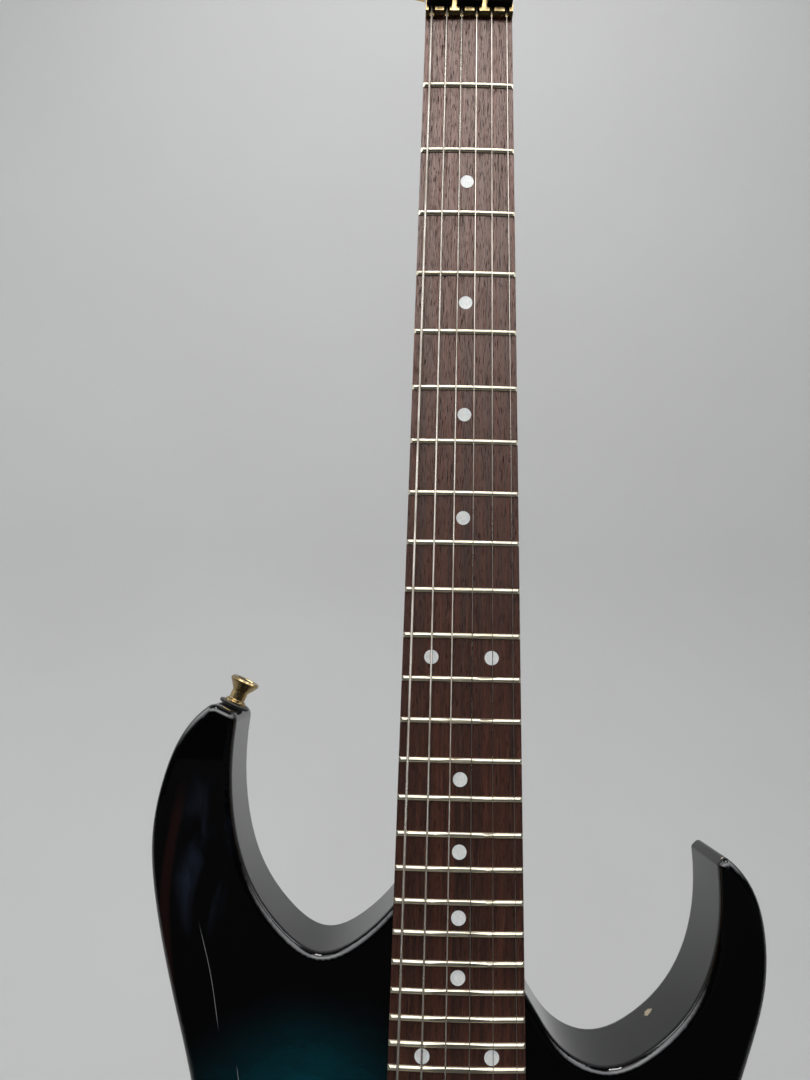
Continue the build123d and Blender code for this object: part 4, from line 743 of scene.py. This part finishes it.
def area_light(name, place, target, size, power, colour=(1, 1, 1), mirrored=True):
    data = bpy.data.lights.new(name, "AREA")
    data.energy = power
    data.size = size
    data.color = colour
    light = bpy.data.objects.new(name, data)
    light.location = place
    light.visible_glossy = mirrored
    light.rotation_euler = (Vector(target) - Vector(place)).to_track_quat("-Z", "Y").to_euler()
    bpy.context.scene.collection.objects.link(light)


# Direction part (1 is y, 2 is z), where its step starts and ends, and the brightness it adds from and to
MIRRORED_ROOM = (
    (1, (0.0, 0.5, 0.02, 1.0)),
    (2, (0.16, 0.62, 0.0, 8.0)),
    (2, (0.70, 0.85, 0.0, -8.0)),
)


def make_world():
    """Pale all round, but dim in mirror reflections of the front, as a room behind the camera is."""
    world = bpy.data.worlds.new("room")
    world.use_nodes = True
    bpy.context.scene.world = world
    tree = world.node_tree
    background = tree.nodes["Background"]
    direction = tree.nodes.new("ShaderNodeTexCoord").outputs["Generated"]
    split = tree.nodes.new("ShaderNodeSeparateXYZ")
    tree.links.new(direction, split.inputs[0])
    seen = None
    for source, values in MIRRORED_ROOM:
        step = tree.nodes.new("ShaderNodeMapRange")
        step.interpolation_type = "SMOOTHSTEP"
        for socket, value in zip(step.inputs[1:5], values):
            socket.default_value = value
        tree.links.new(split.outputs[source], step.inputs[0])
        if seen is None:
            seen = step.outputs[0]
            continue
        total = tree.nodes.new("ShaderNodeMath")
        total.operation = "ADD"
        tree.links.new(seen, total.inputs[0])
        tree.links.new(step.outputs[0], total.inputs[1])
        seen = total.outputs[0]
    path = tree.nodes.new("ShaderNodeLightPath")
    pick = tree.nodes.new("ShaderNodeMix")
    tree.links.new(path.outputs["Is Glossy Ray"], pick.inputs[0])
    pick.inputs[2].default_value = 0.62
    tree.links.new(seen, pick.inputs[3])
    tree.links.new(pick.outputs[0], background.inputs["Strength"])
    background.inputs["Color"].default_value = tone(196, 198, 200)


# Solved so that the frets, the dots and the outline of the horns fall where they are seen
CAMERA_PLACE = (-0.0242, -0.3965, 0.4943)
CAMERA_TURN = (0.1270, 0.0046, 0.0204)
CAMERA_LENS = 27.03


def make_camera():
    data = bpy.data.cameras.new("camera")
    data.lens = CAMERA_LENS
    data.sensor_width = 36
    data.clip_start = 0.01
    camera = bpy.data.objects.new("camera", data)
    bpy.context.scene.collection.objects.link(camera)
    turn = Vector(CAMERA_TURN)
    tilt = Quaternion(turn.normalized(), turn.length).to_matrix().to_4x4()
    upright = Matrix.Rotation(math.pi / 2, 4, "X")
    camera.matrix_world = Matrix.Translation(CAMERA_PLACE) @ upright @ tilt
    bpy.context.scene.camera = camera


# ---------------------------------------------------------------- putting it together
gold = metal("gold_plate", tone(214, 182, 124), tone(140, 108, 66), 0.18, 40, age=0.4)
# Darker gold whose paler edges are partly rubbed plating and partly a painted highlight
worn_gold_edge_highlight = metal("worn_gold_edge_highlight", tone(172, 150, 106), tone(92, 74, 50), 0.22, 120, wear_and_highlight=tone(232, 214, 170))
nickel = metal("nickel", tone(206, 199, 178), tone(174, 165, 142), 0.36, 24, 0.0001, (160, 160, 160), age=0.3)
steel = metal("zinc_steel", tone(150, 150, 152), tone(96, 95, 94), 0.3, 50)
pole_steel = metal("pole_steel", tone(188, 186, 182), tone(120, 114, 106), 0.24, 140)
black_metal = plastic("black_oxide", tone(20, 20, 21), 0.3, metallic=0.7, scuff=(96, 94, 92))
black_gloss = plastic("black_bobbin", tone(12, 12, 13), 0.3)
pebble = plastic("pebbled_cover", tone(17, 17, 18), 0.42, 0.00003, 2200)
lever_plastic = plastic("black_lever", tone(14, 14, 15), 0.22)

dress(burst("lacquer_top", True), "top_cap")
dress(burst("lacquer_body", False), "body_core")
dress(rosewood(), "fretboard")
dress(maple(HEAD_START, HEAD_NORMAL, HEAD_UP), "neck")
dress(nickel, "frets")
dress(pearl(), "position_dots")
dress(steel, "truss_rod", "trem_block", "spring_claw", "pots", "selector_switch", "pickup_baseplates")
dress(pole_steel, "pickup_poles")
dress(black_gloss, "truss_rod_cover", "humbucker_bobbins", "single_coil_cover")
dress(pebble, "control_cover", "trem_cover")
dress(lever_plastic, "selector_lever")
dress(black_metal, "nut_clamps", "nut_screws", "small_screws", "large_screws", "string_clamp_blocks")
dress(worn_gold_edge_highlight, "nut_base", "strap_buttons", "string_retainer")
dress(gold, "tuner_bushings", "tuner_housings", "neck_plate", "arm_socket")
dress(gold, "trem_base_plate", "saddles", "saddle_screws")
dress(gold, "trem_studs", "volume_knob", "tone_knob", "output_jack")
dress(arm_metal(ARM_CAP_START, ARM_ALONG), "trem_arm")
for number in range(1, STRING_COUNT + 1):
    dress(gold, f"tuner_button_{number}", f"tuner_post_{number}", f"fine_tuner_{number}")

make_strings(string_metal(True), string_metal(False))
make_springs(steel)
make_felt(felt())

make_stage()
make_world()
area_light("key", (-0.35, -1.35, 2.05), (0, 0, 0.55), 1.5, 14, (1.0, 0.99, 0.97))
area_light("overhead", (0.0, 0.35, 2.4), (0, 0.1, 0.4), 1.6, 10, mirrored=False)
area_light("ceiling_lamp", (0.05, -0.55, 2.4), (0, 0, 0.4), 0.5, 12)
area_light("left_window", (-1.9, -0.2, 1.0), (0, 0, 0.45), 1.2, 7, (0.96, 0.98, 1.0), mirrored=False)
make_camera()
bpy.context.scene.view_settings.view_transform = "Standard"
